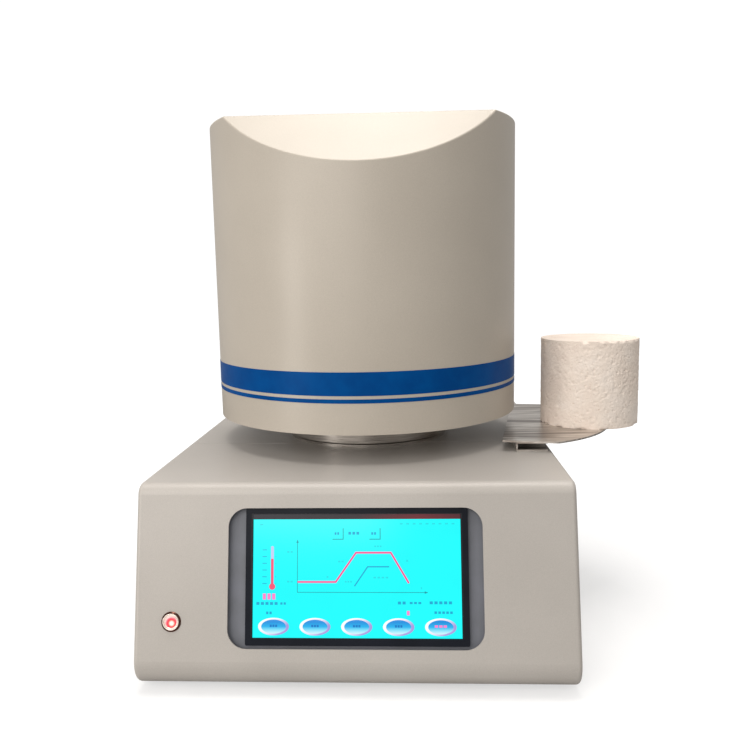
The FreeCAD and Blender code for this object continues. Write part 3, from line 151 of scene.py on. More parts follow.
class Surface:
    """A principled material being put together. Its patterns are fixed to the piece they are on."""

    def __init__(self, name, **sockets):
        self.material = bpy.data.materials.new(name)
        self.material.use_nodes = True
        self.tree = self.material.node_tree
        self.shader = self.tree.nodes["Principled BSDF"]
        self.place = self.tree.nodes.new("ShaderNodeTexCoord").outputs["Object"]
        for words, amount in sockets.items():
            self.feed(amount, self.shader.inputs[words.replace("_", " ")])

    def feed(self, amount, socket):
        """Set a socket to a number, a vector or a colour, or link another node's output to it."""
        if isinstance(amount, bpy.types.NodeSocket):
            self.tree.links.new(amount, socket)
        elif socket.type == "RGBA":
            socket.default_value = (*amount, 1.0)
        else:
            socket.default_value = amount

    def node(self, kind, out=0, settings=(), **inputs):
        made = self.tree.nodes.new("ShaderNode" + kind)
        for setting, choice in dict(settings).items():
            setattr(made, setting, choice)
        for words, amount in inputs.items():
            self.feed(amount, made.inputs[words.replace("_", " ")])
        return made.outputs[out]

    def stretched(self, size, stretch):
        """Coordinates in which one unit is size metres, drawn out along each axis by the stretch."""
        scale = tuple(1 / (size * draw) for draw in stretch)
        return self.node("Mapping", Vector=self.place, Scale=scale)

    def noise(self, size, detail=2.0, stretch=(1, 1, 1), rough=0.5, distortion=0.0):
        where = self.stretched(size, stretch)
        return self.node(
            "TexNoise", Vector=where, Scale=1.0, Detail=detail, Roughness=rough, Distortion=distortion
        )

    def cells(self, size):
        """Distance to the nearest of a cloud of points about size metres apart."""
        return self.node("TexVoronoi", Vector=self.stretched(size, (1, 1, 1)), Scale=1.0)

    def times(self, first, second, share=1.0):
        """The first colour multiplied by the second, as far as the share says."""
        return self.node(
            "MixRGB", settings={"blend_type": "MULTIPLY"}, Fac=share, Color1=first, Color2=second
        )

    def between(self, factor, low, high, start=0.0, end=1.0):
        names = {"From_Min": start, "From_Max": end, "To_Min": low, "To_Max": high}
        return self.node("MapRange", Value=factor, **names)

    def ramp(self, factor, *stops):
        made = self.tree.nodes.new("ShaderNodeValToRGB")
        self.feed(factor, made.inputs[0])
        while len(made.color_ramp.elements) < len(stops):
            made.color_ramp.elements.new(0.5)
        for element, (place, colour) in zip(made.color_ramp.elements, stops):
            element.position = place
            element.color = (*colour, 1.0)
        return made.outputs["Color"]

    def along(self, axis):
        """The coordinate along X, Y or Z."""
        return self.node("SeparateXYZ", out="XYZ".index(axis), Vector=self.place)

    def colour(self, socket):
        self.feed(socket, self.shader.inputs["Base Color"])

    def roughness(self, socket):
        self.feed(socket, self.shader.inputs["Roughness"])

    def emission(self, socket):
        self.feed(socket, self.shader.inputs["Emission Color"])

    def bump(self, *layers):
        """Raise the surface by each layer (height socket, depth in metres, strength) on the last."""
        normal = None
        for height, depth, strength in layers:
            made = self.tree.nodes.new("ShaderNodeBump")
            made.inputs["Distance"].default_value = depth
            made.inputs["Strength"].default_value = strength
            self.feed(height, made.inputs["Height"])
            if normal:
                self.feed(normal, made.inputs["Normal"])
            normal = made.outputs["Normal"]
        self.feed(normal, self.shader.inputs["Normal"])


def metallic_paint(name, colour, dark, light):
    """Sprayed silver-grey enamel: fine flake, slight orange peel and faint drifts in tone."""
    paint = Surface(name, Metallic=0.05, Specular_IOR_Level=0.35, Coat_Weight=0.06, Coat_Roughness=0.3)
    flake = paint.noise(0.0006, detail=1)
    drift = paint.noise(0.09, detail=2)
    tone = paint.ramp(drift, (0.3, dark), (0.5, colour), (0.7, light))
    speck = paint.ramp(flake, (0.35, (0.955, 0.955, 0.955)), (0.65, (1.03, 1.03, 1.03)))
    paint.colour(paint.times(tone, speck))
    paint.roughness(paint.between(flake, 0.35, 0.45))
    paint.bump((paint.noise(0.0022, detail=2), 0.00003, 0.35), (flake, 0.00001, 0.3))
    return paint.material


def gloss_film(name, colour, edge_colour):
    """Coloured film stuck on the shell."""
    film = Surface(name, Specular_IOR_Level=0.05)
    film.colour(film.ramp(film.noise(0.02, detail=3), (0.35, edge_colour), (0.65, colour)))
    film.roughness(film.between(film.noise(0.004), 0.34, 0.44))
    film.bump((film.noise(0.003), 0.00002, 0.35))
    return film.material


def brushed_metal(name, colour, dark, stretch):
    """Metal with fine lines drawn out along one or two axes, and faint smudges."""
    metal = Surface(name, Metallic=1.0)
    lines = metal.noise(0.0006, detail=4, stretch=stretch, rough=0.6)
    smudge = metal.noise(0.03, detail=3)
    metal.colour(metal.ramp(lines, (0.25, dark), (0.75, colour)))
    soiled = metal.node("Math", settings={"operation": "MULTIPLY_ADD"}, Value=smudge)
    soiled.node.inputs[1].default_value = 0.12
    metal.feed(metal.between(lines, 0.16, 0.32), soiled.node.inputs[2])
    metal.roughness(soiled)
    metal.bump((lines, 0.00002, 0.5))
    return metal.material


def steel_with_painted_reflections(name):
    """Rolled sheet: fine lines along X over broad bands of painted reflection, from grey-brown to bright."""
    metal = Surface(name, Metallic=0.85)
    reflection_bands = metal.noise(0.0075, detail=3, stretch=(11, 1, 1), rough=0.5, distortion=0.3)
    lines = metal.noise(0.0009, detail=4, stretch=(60, 1, 1), rough=0.6)
    # The broad grey-brown to bright bands of tone are painted reflection.
    tone = metal.ramp(
        reflection_bands,
        (0.32, srgb(120, 109, 101)),
        (0.46, srgb(166, 157, 149)),
        (0.56, srgb(222, 216, 209)),
        (0.68, srgb(146, 136, 127)),
    )
    streak = metal.ramp(lines, (0.3, (0.9, 0.9, 0.9)), (0.7, (1.05, 1.05, 1.05)))
    metal.colour(metal.times(tone, streak))
    metal.roughness(metal.between(lines, 0.24, 0.4))
    metal.bump((reflection_bands, 0.0002, 0.25), (lines, 0.00002, 0.5))
    return metal.material


def machined_metal(name, colour, dark, rough=(0.2, 0.34)):
    """Turned or ground metal: a fine even grain and a few stains."""
    metal = Surface(name, Metallic=1.0)
    grain = metal.noise(0.0005, detail=3)
    stain = metal.noise(0.012, detail=4)
    metal.colour(metal.ramp(stain, (0.3, dark), (0.65, colour)))
    metal.roughness(metal.between(grain, *rough))
    metal.bump((grain, 0.00001, 0.5))
    return metal.material


def plastic(name, colour, light, rough=(0.35, 0.5), grain=0.0008, depth=0.00003, specular=0.4):
    """Moulded plastic with a fine spark-eroded texture."""
    moulded = Surface(name, Specular_IOR_Level=specular)
    texture = moulded.noise(grain, detail=2)
    moulded.colour(moulded.ramp(moulded.noise(0.02, detail=3), (0.3, colour), (0.7, light)))
    moulded.roughness(moulded.between(texture, *rough))
    moulded.bump((texture, depth, 0.6))
    return moulded.material


def rubber(name, colour, light):
    soft = Surface(name, Sheen_Weight=0.15)
    dust = soft.noise(0.006, detail=5)
    soft.colour(soft.ramp(dust, (0.35, colour), (0.75, light)))
    soft.roughness(soft.between(dust, 0.62, 0.85))
    soft.bump((soft.noise(0.001, detail=3), 0.00006, 0.6))
    return soft.material


def ceramic_fibre(name, colour, light, shade, pit_depth):
    """Pressed ceramic fibre: matt, off-white, with small pits darkened by painted shade and faint warmer patches.
    """
    fibre = Surface(name, Roughness=0.93, Specular_IOR_Level=0.2)
    patches = fibre.noise(0.03, detail=3, rough=0.5)
    crumbs = fibre.noise(0.0016, detail=3, rough=0.6)
    pits = fibre.between(fibre.cells(0.0042), 0.0, 1.0, 0.06, 0.26)
    lumps = fibre.noise(0.0024, detail=3, rough=0.65, distortion=0.4)
    tone = fibre.ramp(patches, (0.3, shade), (0.5, colour), (0.7, light))
    # Darker where the lumps noise dips into hollows: painted shade in the pits.
    pit_shade = fibre.ramp(lumps, (0.28, (0.72, 0.62, 0.55)), (0.36, (1.0, 1.0, 1.0)))
    speck = fibre.ramp(crumbs, (0.28, (0.95, 0.94, 0.925)), (0.5, (1.0, 1.0, 1.0)))
    for layer in (pit_shade, speck):
        tone = fibre.times(tone, layer, 0.8)
    fibre.colour(tone)
    fibre.bump((pits, pit_depth, 0.5), (lumps, pit_depth * 2, 0.45), (crumbs, 0.0004, 0.4))
    return fibre.material


def circuit_board(name):
    """Green solder mask over fine tracks."""
    board = Surface(name, Roughness=0.35, Coat_Weight=0.3)
    tracks = board.node(
        "TexBrick", out="Fac", Vector=board.stretched(0.004, (1, 1, 1)), Scale=1.0, Mortar_Size=0.08
    )
    board.colour(board.ramp(tracks, (0.2, srgb(18, 84, 52)), (0.8, srgb(46, 128, 82))))
    board.bump((tracks, 0.00004, 0.5))
    return board.material


def quartz_glass(name):
    glass = Surface(name, Transmission_Weight=0.85, IOR=1.46)
    haze = glass.noise(0.01, detail=3)
    glass.colour(glass.ramp(haze, (0.3, srgb(232, 233, 228)), (0.7, srgb(246, 247, 245))))
    glass.roughness(glass.between(haze, 0.12, 0.3))
    return glass.material


def glowing(name, low, high, size=0.004, rough=0.25):
    """Part of the lit picture: its own light, a little uneven, behind clear glass."""
    lit = Surface(name, Base_Color=(0.0, 0.0, 0.0), Roughness=rough, Emission_Strength=1.0)
    lit.emission(lit.ramp(lit.noise(size, detail=2), (0.3, low), (0.7, high)))
    return lit.material


def slot_materials():
    """One material for each of the record's slots, each from the maker and the values in its row."""
    black, soot = srgb(30, 31, 34), srgb(44, 45, 48)
    rows = (
        (metallic_paint, "cover_paint", srgb(181, 175, 168), srgb(178, 172, 165), srgb(185, 179, 172)),
        (metallic_paint, "hood_paint", srgb(187, 178, 165), srgb(184, 175, 162), srgb(190, 181, 168)),
        (gloss_film, "band_blue", srgb(0, 74, 140), srgb(0, 66, 130)),
        (brushed_metal, "zinc_sheet", srgb(190, 192, 194), srgb(150, 153, 156), (30, 1, 30)),
        (brushed_metal, "stainless", srgb(205, 198, 190), srgb(140, 132, 124), (40, 40, 1)),
        (steel_with_painted_reflections, "tray_steel"),
        (machined_metal, "screw_steel", srgb(176, 176, 178), srgb(140, 138, 136)),
        (machined_metal, "machined_steel", srgb(190, 190, 192), srgb(150, 148, 146)),
        (machined_metal, "hard_chrome", srgb(222, 223, 226), srgb(200, 201, 204), (0.06, 0.12)),
        (machined_metal, "aluminium", srgb(212, 213, 215), srgb(186, 187, 190), (0.3, 0.45)),
        (machined_metal, "brass", srgb(214, 176, 98), srgb(172, 132, 66), (0.22, 0.36)),
        (rubber, "rubber", srgb(26, 26, 27), srgb(46, 45, 44)),
        (rubber, "seal_rubber", srgb(140, 52, 38), srgb(160, 70, 54)),
        (rubber, "hose_rubber", srgb(196, 190, 180), srgb(214, 208, 198)),
        (plastic, "inset_grey", srgb(108, 110, 116), srgb(118, 120, 128), (0.38, 0.5)),
        (plastic, "bezel_black", srgb(22, 25, 32), srgb(27, 30, 38), (0.24, 0.34), 0.0005, 1e-5, 0.12),
        (glowing, "screen", (0.0, 0.96, 0.97), (0.0, 1.0, 1.0), 0.03, 0.16),
        (circuit_board, "circuit_board"),
        # The dark reddish-brown of the button's chrome slope is a painted reflection.
        (machined_metal, "button_chrome", srgb(120, 84, 72), srgb(60, 34, 32), (0.1, 0.2)),
        (machined_metal, "button_metal", srgb(252, 240, 230), srgb(246, 226, 214), (0.3, 0.42)),
        (glowing, "button_lens", srgb(226, 20, 40), srgb(250, 60, 60)),
        (plastic, "motor_black", black, soot, (0.5, 0.65)),
        (plastic, "transformer_tape", srgb(176, 148, 60), srgb(196, 168, 84), (0.4, 0.55)),
        (plastic, "fan_black", black, soot),
        (plastic, "rocker_black", srgb(24, 24, 26), srgb(34, 34, 36), (0.2, 0.3)),
        (ceramic_fibre, "fibre", srgb(236, 230, 218), srgb(244, 240, 230), srgb(222, 214, 200), 0.0003),
        (ceramic_fibre, "plug_fibre", srgb(243, 229, 216), srgb(246, 234, 223), srgb(239, 223, 210), 0.0006),
        (plastic, "plain_ceramic", srgb(232, 226, 212), srgb(240, 236, 226), (0.3, 0.45)),
        (quartz_glass, "quartz"),
        (machined_metal, "heating_wire", srgb(98, 88, 82), srgb(62, 54, 50), (0.5, 0.7)),
    )
    return {name: maker(name, *values) for maker, name, *values in rows}


def dress_nodes(materials):
    """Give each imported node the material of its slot."""
    for row in frame["record"]["subparts"]:
        for place in NODES[row["node"]].material_slots:
            place.material = materials[row["material_slot"]]


# ---------------------------------------------------------------- mesh helpers


def piece(name, vertices, faces, materials, body, slot, crease=35, matrix=None, face_materials=None):
    """A finished piece from points and faces, smooth except at edges sharper than the crease."""
    mesh = bpy.data.meshes.new(name)
    mesh.from_pydata([tuple(vertex) for vertex in vertices], [], faces)
    for material in materials:
        mesh.materials.append(material)
    if face_materials:
        mesh.polygons.foreach_set("material_index", face_materials)
    work = bmesh.new()
    work.from_mesh(mesh)
    bmesh.ops.recalc_face_normals(work, faces=work.faces)
    work.to_mesh(mesh)
    work.free()
    mesh.shade_smooth()
    mesh.set_sharp_from_angle(angle=math.radians(crease))
    made = bpy.data.objects.new(name, mesh)
    bpy.context.scene.collection.objects.link(made)
    if matrix is not None:
        made.matrix_world = matrix
    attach(made, body)
    return made


def merged(*shapes):
    """Several (vertices, faces) shapes as one."""
    vertices, faces = [], []
    for some_vertices, some_faces in shapes:
        base = len(vertices)
        vertices += some_vertices
        faces += [tuple(base + index for index in face) for face in some_faces]
    return vertices, faces


def moved(shape, matrix):
    vertices, faces = shape
    return [matrix @ Vector(vertex) for vertex in vertices], faces


def turned(profile, steps=64, squeeze=1.0):
    """A profile of (radius, height) turned about Z. A point with no radius closes an end."""
    vertices, rows = [], []
    for radius, height in profile:
        if radius == 0:
            rows.append([len(vertices)] * steps)
            vertices.append(Vector((0, 0, height)))
            continue
        rows.append(range(len(vertices), len(vertices) + steps))
        for step in range(steps):
            angle = 2 * math.pi * step / steps
            vertices.append(Vector((radius * math.cos(angle), radius * squeeze * math.sin(angle), height)))
    faces = []
    for low, high in zip(rows, rows[1:]):
        for step in range(steps):
            after = (step + 1) % steps
            corners = (low[step], low[after], high[after], high[step])
            faces.append(tuple(dict.fromkeys(corners)))
    return vertices, [face for face in faces if len(face) > 2]


def rounded(corners, radius, steps=4):
    """The profile with each inner corner rounded, as a quadratic curve, where there is room."""
    points = [Vector(corner) for corner in corners]
    done = [points[0]]
    for before, corner, after in zip(points, points[1:], points[2:]):
        reach = min(radius, (before - corner).length * 0.45, (after - corner).length * 0.45)
        start = corner + (before - corner).normalized() * reach
        end = corner + (after - corner).normalized() * reach
        for step in range(steps + 1):
            share = step / steps
            done.append(start * (1 - share) ** 2 + corner * 2 * share * (1 - share) + end * share**2)
    done.append(points[-1])
    return [(point.x, point.y) for point in done]


def plate(outline, low, high):
    """A flat plate: an outline of (x, z) points, from depth low to depth high along Y."""
    count = len(outline)
    vertices = [Vector((x, depth, z)) for depth in (low, high) for x, z in outline]
    faces = [tuple(range(count)), tuple(reversed(range(count, 2 * count)))]
    for index in range(count):
        after = (index + 1) % count
        faces.append((index, after, count + after, count + index))
    return vertices, faces


def rectangle(x, z, width, height):
    across, up = width / 2, height / 2
    return [(x - across, z - up), (x + across, z - up), (x + across, z + up), (x - across, z + up)]


def oval(x, z, across, up, steps=48, start=0.0, end=2 * math.pi):
    turns = [start + (end - start) * step / steps for step in range(steps)]
    return [(x + across * math.cos(turn), z + up * math.sin(turn)) for turn in turns]


def stroke(points, width):
    """The outline of a mitred line of the given width through the points."""
    points = [Vector(point) for point in points]
    left, right = [], []
    for index, point in enumerate(points):
        before = point - points[index - 1] if index else points[1] - point
        after = points[index + 1] - point if index + 1 < len(points) else before
        before, after = before.normalized(), after.normalized()
        side = Vector((-(before + after).y, (before + after).x)).normalized()
        reach = width / 2 / max(side.dot(Vector((-before.y, before.x))), 0.3)
        left.append(point + side * reach)
        right.append(point - side * reach)
    return [(point.x, point.y) for point in left + right[::-1]]


def towards(direction, place):
    """The frame at a place whose Z runs along the direction."""
    return Matrix.Translation(place) @ Vector(direction).to_track_quat("Z", "Y").to_matrix().to_4x4()


def centre_of(node):
    low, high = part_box(node)
    return (low + high) / 2


# ---------------------------------------------------------------- the leaning panel

PANEL_IN = Vector(JOINTS["button_press"]["axis"])
PANEL_UP = Vector((1, 0, 0)).cross(PANEL_IN)


def panel_frame(place):
    """The frame at a place on the panel: X right, Y into the console, Z up the panel."""
    columns = Matrix((Vector((1, 0, 0)), PANEL_IN, PANEL_UP)).transposed()
    return Matrix.Translation(place) @ columns.to_4x4()


def panel_reach(node):
    """Where a node starts and ends along the way into the panel."""
    depths = [vertex.co.dot(PANEL_IN) for vertex in NODES[node].data.vertices]
    return min(depths), max(depths)


def front_centre(node):
    """The middle of a node's face that looks out of the panel."""
    centre = centre_of(node)
    return centre + PANEL_IN * (panel_reach(node)[0] - centre.dot(PANEL_IN))


# ---------------------------------------------------------------- picture on the screen, in mm

LIT_WIDTH, LIT_HEIGHT = 154.1, 85.9
LIT_DROP = 1.55
LAYER = 0.06
CURVE = ((-43.8, -2.8), (-15.4, -2.8), (-0.3, 18.4), (25.5, 18.4), (38.6, -3.6))
VACUUM_CURVE = ((-1.5, -5.8), (8.3, 8.2), (24.2, 8.2))
PLOT_CORNER = (-43.9, -10.3)
PLOT_TOP, PLOT_RIGHT = 26.0, 50.5
TUBE_X, TUBE_TOP, TUBE_FULL, TUBE_LOW = -62.7, 22.2, 14.0, -6.2
TUBE_WIDTH, BULB_RADIUS = 2.2, 2.3
KEY_Z, KEY_PITCH = -35.0, 30.75
KEY_ACROSS, KEY_UP = 11.5, 6.3
KEY_COUNT = 5
EDGE_BOXES = (-13.6, 13.9)
EDGE_BOX_LEFT, EDGE_BOX_RIGHT, EDGE_BOX_LOW, EDGE_BOX_TOP = -4.2, 3.8, 28.2, 36.2
ARROW_HALF, ARROW_BACK, ARROW_TIP = 0.9, 0.4, 2.2
SCALE_TICKS, SCALE_TOP, SCALE_PITCH = 6, 20.5, 4.9
MASK_STRIP = 3.6
MASK_LINE, MASK_SIDE_LINE, MASK_SIDE_GAP = 0.5, 0.6, 0.9


def picture(name, outlines, layer, material, screen):
    """Marks of one colour: thin plates on the glass, at the given layer."""
    shapes = [plate(outline, -LAYER * (layer + 1), -LAYER * 0.1) for outline in outlines]
    vertices, faces = merged(*shapes)
    scaled = screen @ Matrix.Scale(MM, 4)
    return piece(name, vertices, faces, [material], "console", "screen", matrix=scaled)


def dashes(left, right, z, height, count, gap=0.35):
    """A row of blocks that stands for a word or a number."""
    pitch = (right - left) / count
    return [
        rectangle(left + pitch * (index + 0.5), z, pitch * (1 - gap), height) for index in range(count)
    ]


def plot_marks():
    """The plot's two axes with their arrows, and the low and right edges of two boxes above it."""
    left, low = PLOT_CORNER
    foot, side = PLOT_TOP - ARROW_BACK, PLOT_RIGHT - ARROW_BACK
    axes = [
        stroke(((left, PLOT_TOP), (left, low), (PLOT_RIGHT, low)), 0.45),
        [(left - ARROW_HALF, foot), (left + ARROW_HALF, foot), (left, PLOT_TOP + ARROW_TIP)],
        [(side, low - ARROW_HALF), (PLOT_RIGHT + ARROW_TIP, low), (side, low + ARROW_HALF)],
    ]
    for x in EDGE_BOXES:
        start, corner = (x + EDGE_BOX_LEFT, EDGE_BOX_LOW), (x + EDGE_BOX_RIGHT, EDGE_BOX_LOW)
        axes.append(stroke((start, corner, (x + EDGE_BOX_RIGHT, EDGE_BOX_TOP)), 0.6))
    return axes


def small_marks():
    """Rows of blocks and ticks where a real screen has words and readings."""
    rows = [
        dashes(-75, -58, -18.4, 2.0, 5),
        dashes(-57, -52, -18.4, 1.6, 2),
        dashes(29.8, 36.6, -17.8, 2.0, 2),
        dashes(38.5, 48.0, -17.8, 1.5, 3),
        dashes(53.0, 70.5, -17.6, 2.0, 5),
        dashes(-67.5, -62.5, -25.2, 1.9, 2),
        dashes(56.5, 70.8, -24.6, 1.7, 5),
        dashes(-6.4, 2.6, 32.6, 2.0, 3),
        dashes(-16.5, -12.5, 32.4, 1.8, 2),
        dashes(10.8, 15.0, 32.4, 1.8, 2),
    ]
    for level in range(SCALE_TICKS):
        z = SCALE_TOP - SCALE_PITCH * level
        rows.append(dashes(-71.0, -66.0, z, 0.5, 1))
        rows.append(dashes(-60.6, -59.6, z, 0.3, 1))
    return [outline for row in rows for outline in row]


def faint_marks():
    """Rows of blocks hardly darker than the screen, and an arc in its top left corner."""
    rows = [
        dashes(31, 74, 39.4, 1.0, 9, 0.55),
        dashes(-52, -47, 19.0, 1.2, 2),
        dashes(-52, -47, -2.6, 1.2, 2),
        dashes(13, 19, 23.0, 1.2, 3),
        dashes(-14, -9, 12.0, 1.2, 2),
        dashes(-9, -3, -2.6, 1.2, 3),
        dashes(12, 24, 0.4, 1.2, 4),
        dashes(36.5, 38.5, 12.5, 1.4, 1),
        dashes(-22.5, -20.5, 0.8, 1.3, 1),
        dashes(47.0, 48.4, -7.2, 1.3, 1),
    ]
    arc = [oval(-70.9, 38.0, 1.7, 1.7, 24, math.pi * 0.15, math.pi * 0.95)]
    return [outline for row in rows for outline in row] + arc


def thermometer(screen, rim, fill):
    """A tube in the rim's colour, with a column and a bulb in the fill's."""
    radius = TUBE_WIDTH / 2
    bulb = oval(TUBE_X, TUBE_LOW, BULB_RADIUS, BULB_RADIUS, 40)
    tube_top = oval(TUBE_X, TUBE_TOP, radius, radius, 24, 0, math.pi)
    case = [(TUBE_X + radius, TUBE_LOW), *tube_top, (TUBE_X - radius, TUBE_TOP), (TUBE_X - radius, TUBE_LOW)]
    picture("screen_thermometer_tube", [case], 0, rim, screen)
    column = rectangle(TUBE_X, (TUBE_FULL + TUBE_LOW) / 2, TUBE_WIDTH * 0.86, TUBE_FULL - TUBE_LOW)
    picture("screen_thermometer_column", [column], 1, fill, screen)
    picture("screen_thermometer_bulb", [bulb], 2, fill, screen)


def oval_button_materials():
    """The rim runs from white at the top left to lavender; the face glows white at its foot."""
    rim = Surface("oval_rim", Base_Color=(0, 0, 0), Roughness=0.25, Emission_Strength=1.0)
    across, up = rim.along("X"), rim.along("Y")
    slant = rim.node("Math", settings={"operation": "SUBTRACT"}, Value=across)
    rim.feed(up, slant.node.inputs[1])
    rim.emission(
        rim.ramp(
            rim.between(slant, 0.0, 1.0, -KEY_ACROSS, KEY_ACROSS),
            (0.1, srgb(254, 254, 255)),
            (0.5, srgb(236, 228, 248)),
            (0.9, srgb(168, 156, 222)),
        )
    )
    face = Surface("oval_face", Base_Color=(0, 0, 0), Roughness=0.2, Emission_Strength=1.0)
    face.emission(
        face.ramp(
            face.between(face.along("Y"), 0.0, 1.0, -KEY_UP * 0.8, KEY_UP * 0.8),
            (0.0, srgb(214, 250, 255)),
            (0.28, srgb(130, 228, 252)),
            (0.5, srgb(30, 182, 240)),
            (0.85, srgb(10, 142, 222)),
        )
    )
    return rim.material, face.material


def oval_buttons(screen, inks):
    """Oval keys in the picture: a raised rim round a glassy face, with a row of blocks in its ink."""
    rim, face = oval_button_materials()
    steps = 64
    squeeze = KEY_UP / KEY_ACROSS
    inner = KEY_ACROSS * 0.8
    profile = [(0, 0.22), (inner * 0.6, 0.2), (inner * 0.9, 0.12), (inner, 0.08)]
    profile += [(inner + 0.3, 0.22), (KEY_ACROSS * 0.9, 0.32), (KEY_ACROSS - 0.3, 0.24)]
    profile += [(KEY_ACROSS, 0.05), (KEY_ACROSS, 0.0), (0, 0.0)]
    vertices, faces = turned(profile, steps, squeeze)
    on_rim = [int(index >= 3 * steps) for index in range(len(faces))]
    lie_down = Matrix.Rotation(math.pi / 2, 4, "X")
    for number in range(KEY_COUNT):
        x = (number - KEY_COUNT // 2) * KEY_PITCH
        place = screen @ Matrix.Scale(MM, 4) @ Matrix.Translation((x, 0, KEY_Z)) @ lie_down
        piece(
            f"screen_key_{number + 1}", vertices, faces, [face, rim], "console", "screen",
            matrix=place, face_materials=on_rim,
        )
    for number, material in enumerate(inks):
        x = (number - KEY_COUNT // 2) * KEY_PITCH
        half = 3.0 if number < KEY_COUNT - 1 else 4.8
        blocks = dashes(x - half, x + half, KEY_Z + 0.6, 1.7, 3, 0.25)
        shapes = [plate(outline, -0.34, -0.16) for outline in blocks]
        piece(
            f"screen_key_mark_{number + 1}", *merged(*shapes), [material],
            "console", "screen", matrix=screen @ Matrix.Scale(MM, 4),
        )


def screen_picture():
    """Firing curve, thermometer, readings and keys, as thin plates of light on the glass."""
    screen = panel_frame(front_centre("display_screen") - PANEL_UP * LIT_DROP * MM)
    ink = glowing("ink_teal", srgb(0, 150, 160), srgb(0, 162, 172))
    faint = glowing("ink_faint", srgb(0, 218, 226), srgb(0, 226, 234))
    blue = glowing("ink_blue", srgb(0, 160, 204), srgb(0, 172, 216))
    pink = glowing("ink_pink", srgb(246, 60, 128), srgb(255, 74, 140))
    rose = glowing("ink_rose", srgb(255, 120, 200), srgb(255, 140, 210))
    halo = glowing("ink_halo", srgb(190, 196, 236), srgb(206, 208, 244))
    red = glowing("ink_red", srgb(244, 70, 110), srgb(250, 90, 124))
    deep = glowing("ink_deep", srgb(0, 112, 190), srgb(0, 124, 204))
    picture("screen_axes", plot_marks(), 0, ink, screen)
    picture("screen_readings", small_marks(), 0, blue, screen)
    picture("screen_faint_marks", faint_marks(), 0, faint, screen)
    picture("screen_vacuum_curve", [stroke(VACUUM_CURVE, 0.9)], 0, blue, screen)
    picture("screen_curve_edge", [stroke(CURVE, 1.7)], 0, halo, screen)
    picture("screen_firing_curve", [stroke(CURVE, 1.1)], 1, pink, screen)
    pink_rows = dashes(-70.2, -59.8, -13.4, 4.4, 3, 0.3) + dashes(36.4, 39.4, -25.0, 3.2, 1, 0.3)
    picture("screen_pink_readings", pink_rows, 0, rose, screen)
    thermometer(screen, halo, red)
    oval_buttons(screen, [deep] * (KEY_COUNT - 1) + [rose])


def screen_mask():
    """Grey strip, with a painted reddish reflection towards its right end, and a thin line between the black bezel
    and the lit picture.
    """
    shade = Surface("mask_grey_with_painted_reflection", Specular_IOR_Level=0.2)
    # The ramp along X turns reddish towards the right end: painted reflection on the grey strip.
    shade.colour(
        shade.ramp(
            shade.between(shade.along("X"), 0.0, 1.0, -LIT_WIDTH / 2, LIT_WIDTH / 2),
            (0.0, srgb(58, 58, 64)),
            (0.5, srgb(64, 56, 60)),
            (0.8, srgb(112, 50, 56)),
            (1.0, srgb(86, 46, 52)),
        )
    )
    shade.roughness(shade.between(shade.noise(0.004), 0.25, 0.4))
    line = plastic("mask_line", srgb(12, 12, 16), srgb(20, 20, 24), (0.3, 0.4))
    low = panel_reach("display_frame")[0]
    centre = front_centre("display_screen") - PANEL_UP * LIT_DROP * MM
    place = panel_frame(centre + PANEL_IN * (low - centre.dot(PANEL_IN))) @ Matrix.Scale(MM, 4)
    strip = rectangle(0, LIT_HEIGHT / 2 + MASK_STRIP / 2, LIT_WIDTH, MASK_STRIP)
    vertices, faces = plate(strip, -0.06, 0.3)
    piece("display_mask_strip", vertices, faces, [shade.material], "console", "bezel_black", matrix=place)
    top, side = LIT_HEIGHT / 2 + MASK_STRIP + MASK_LINE / 2, LIT_WIDTH / 2 + MASK_SIDE_GAP
    across = LIT_WIDTH + 2 * MASK_SIDE_GAP + MASK_SIDE_LINE
    bars = [
        rectangle(0, top, across, MASK_LINE),
        rectangle(-side, MASK_STRIP / 2, MASK_SIDE_LINE, LIT_HEIGHT + MASK_STRIP),
        rectangle(side, MASK_STRIP / 2, MASK_SIDE_LINE, LIT_HEIGHT + MASK_STRIP),
    ]
    vertices, faces = merged(*(plate(bar, -0.12, 0.3) for bar in bars))
    piece("display_mask_line", vertices, faces, [line], "console", "bezel_black", matrix=place)


# ---------------------------------------------------------------- power button, in mm

BUTTON_CLEARANCE = 0.06
BUTTON_PROUD, BUTTON_LENGTH, BUTTON_SLOPE = 1.6, 19.6, 1.5
BORE_DEPTH, CAP_DEPTH, LENS_SEAT = 12.0, 9.3, 2.0
LENS_RIM, LENS_RISE, LENS_STEPS = 0.72, 0.34, 10


def half_width(node):
    """Half a node's size along X, in mm."""
    low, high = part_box(node)
    return (high.x - low.x) / 2 / MM


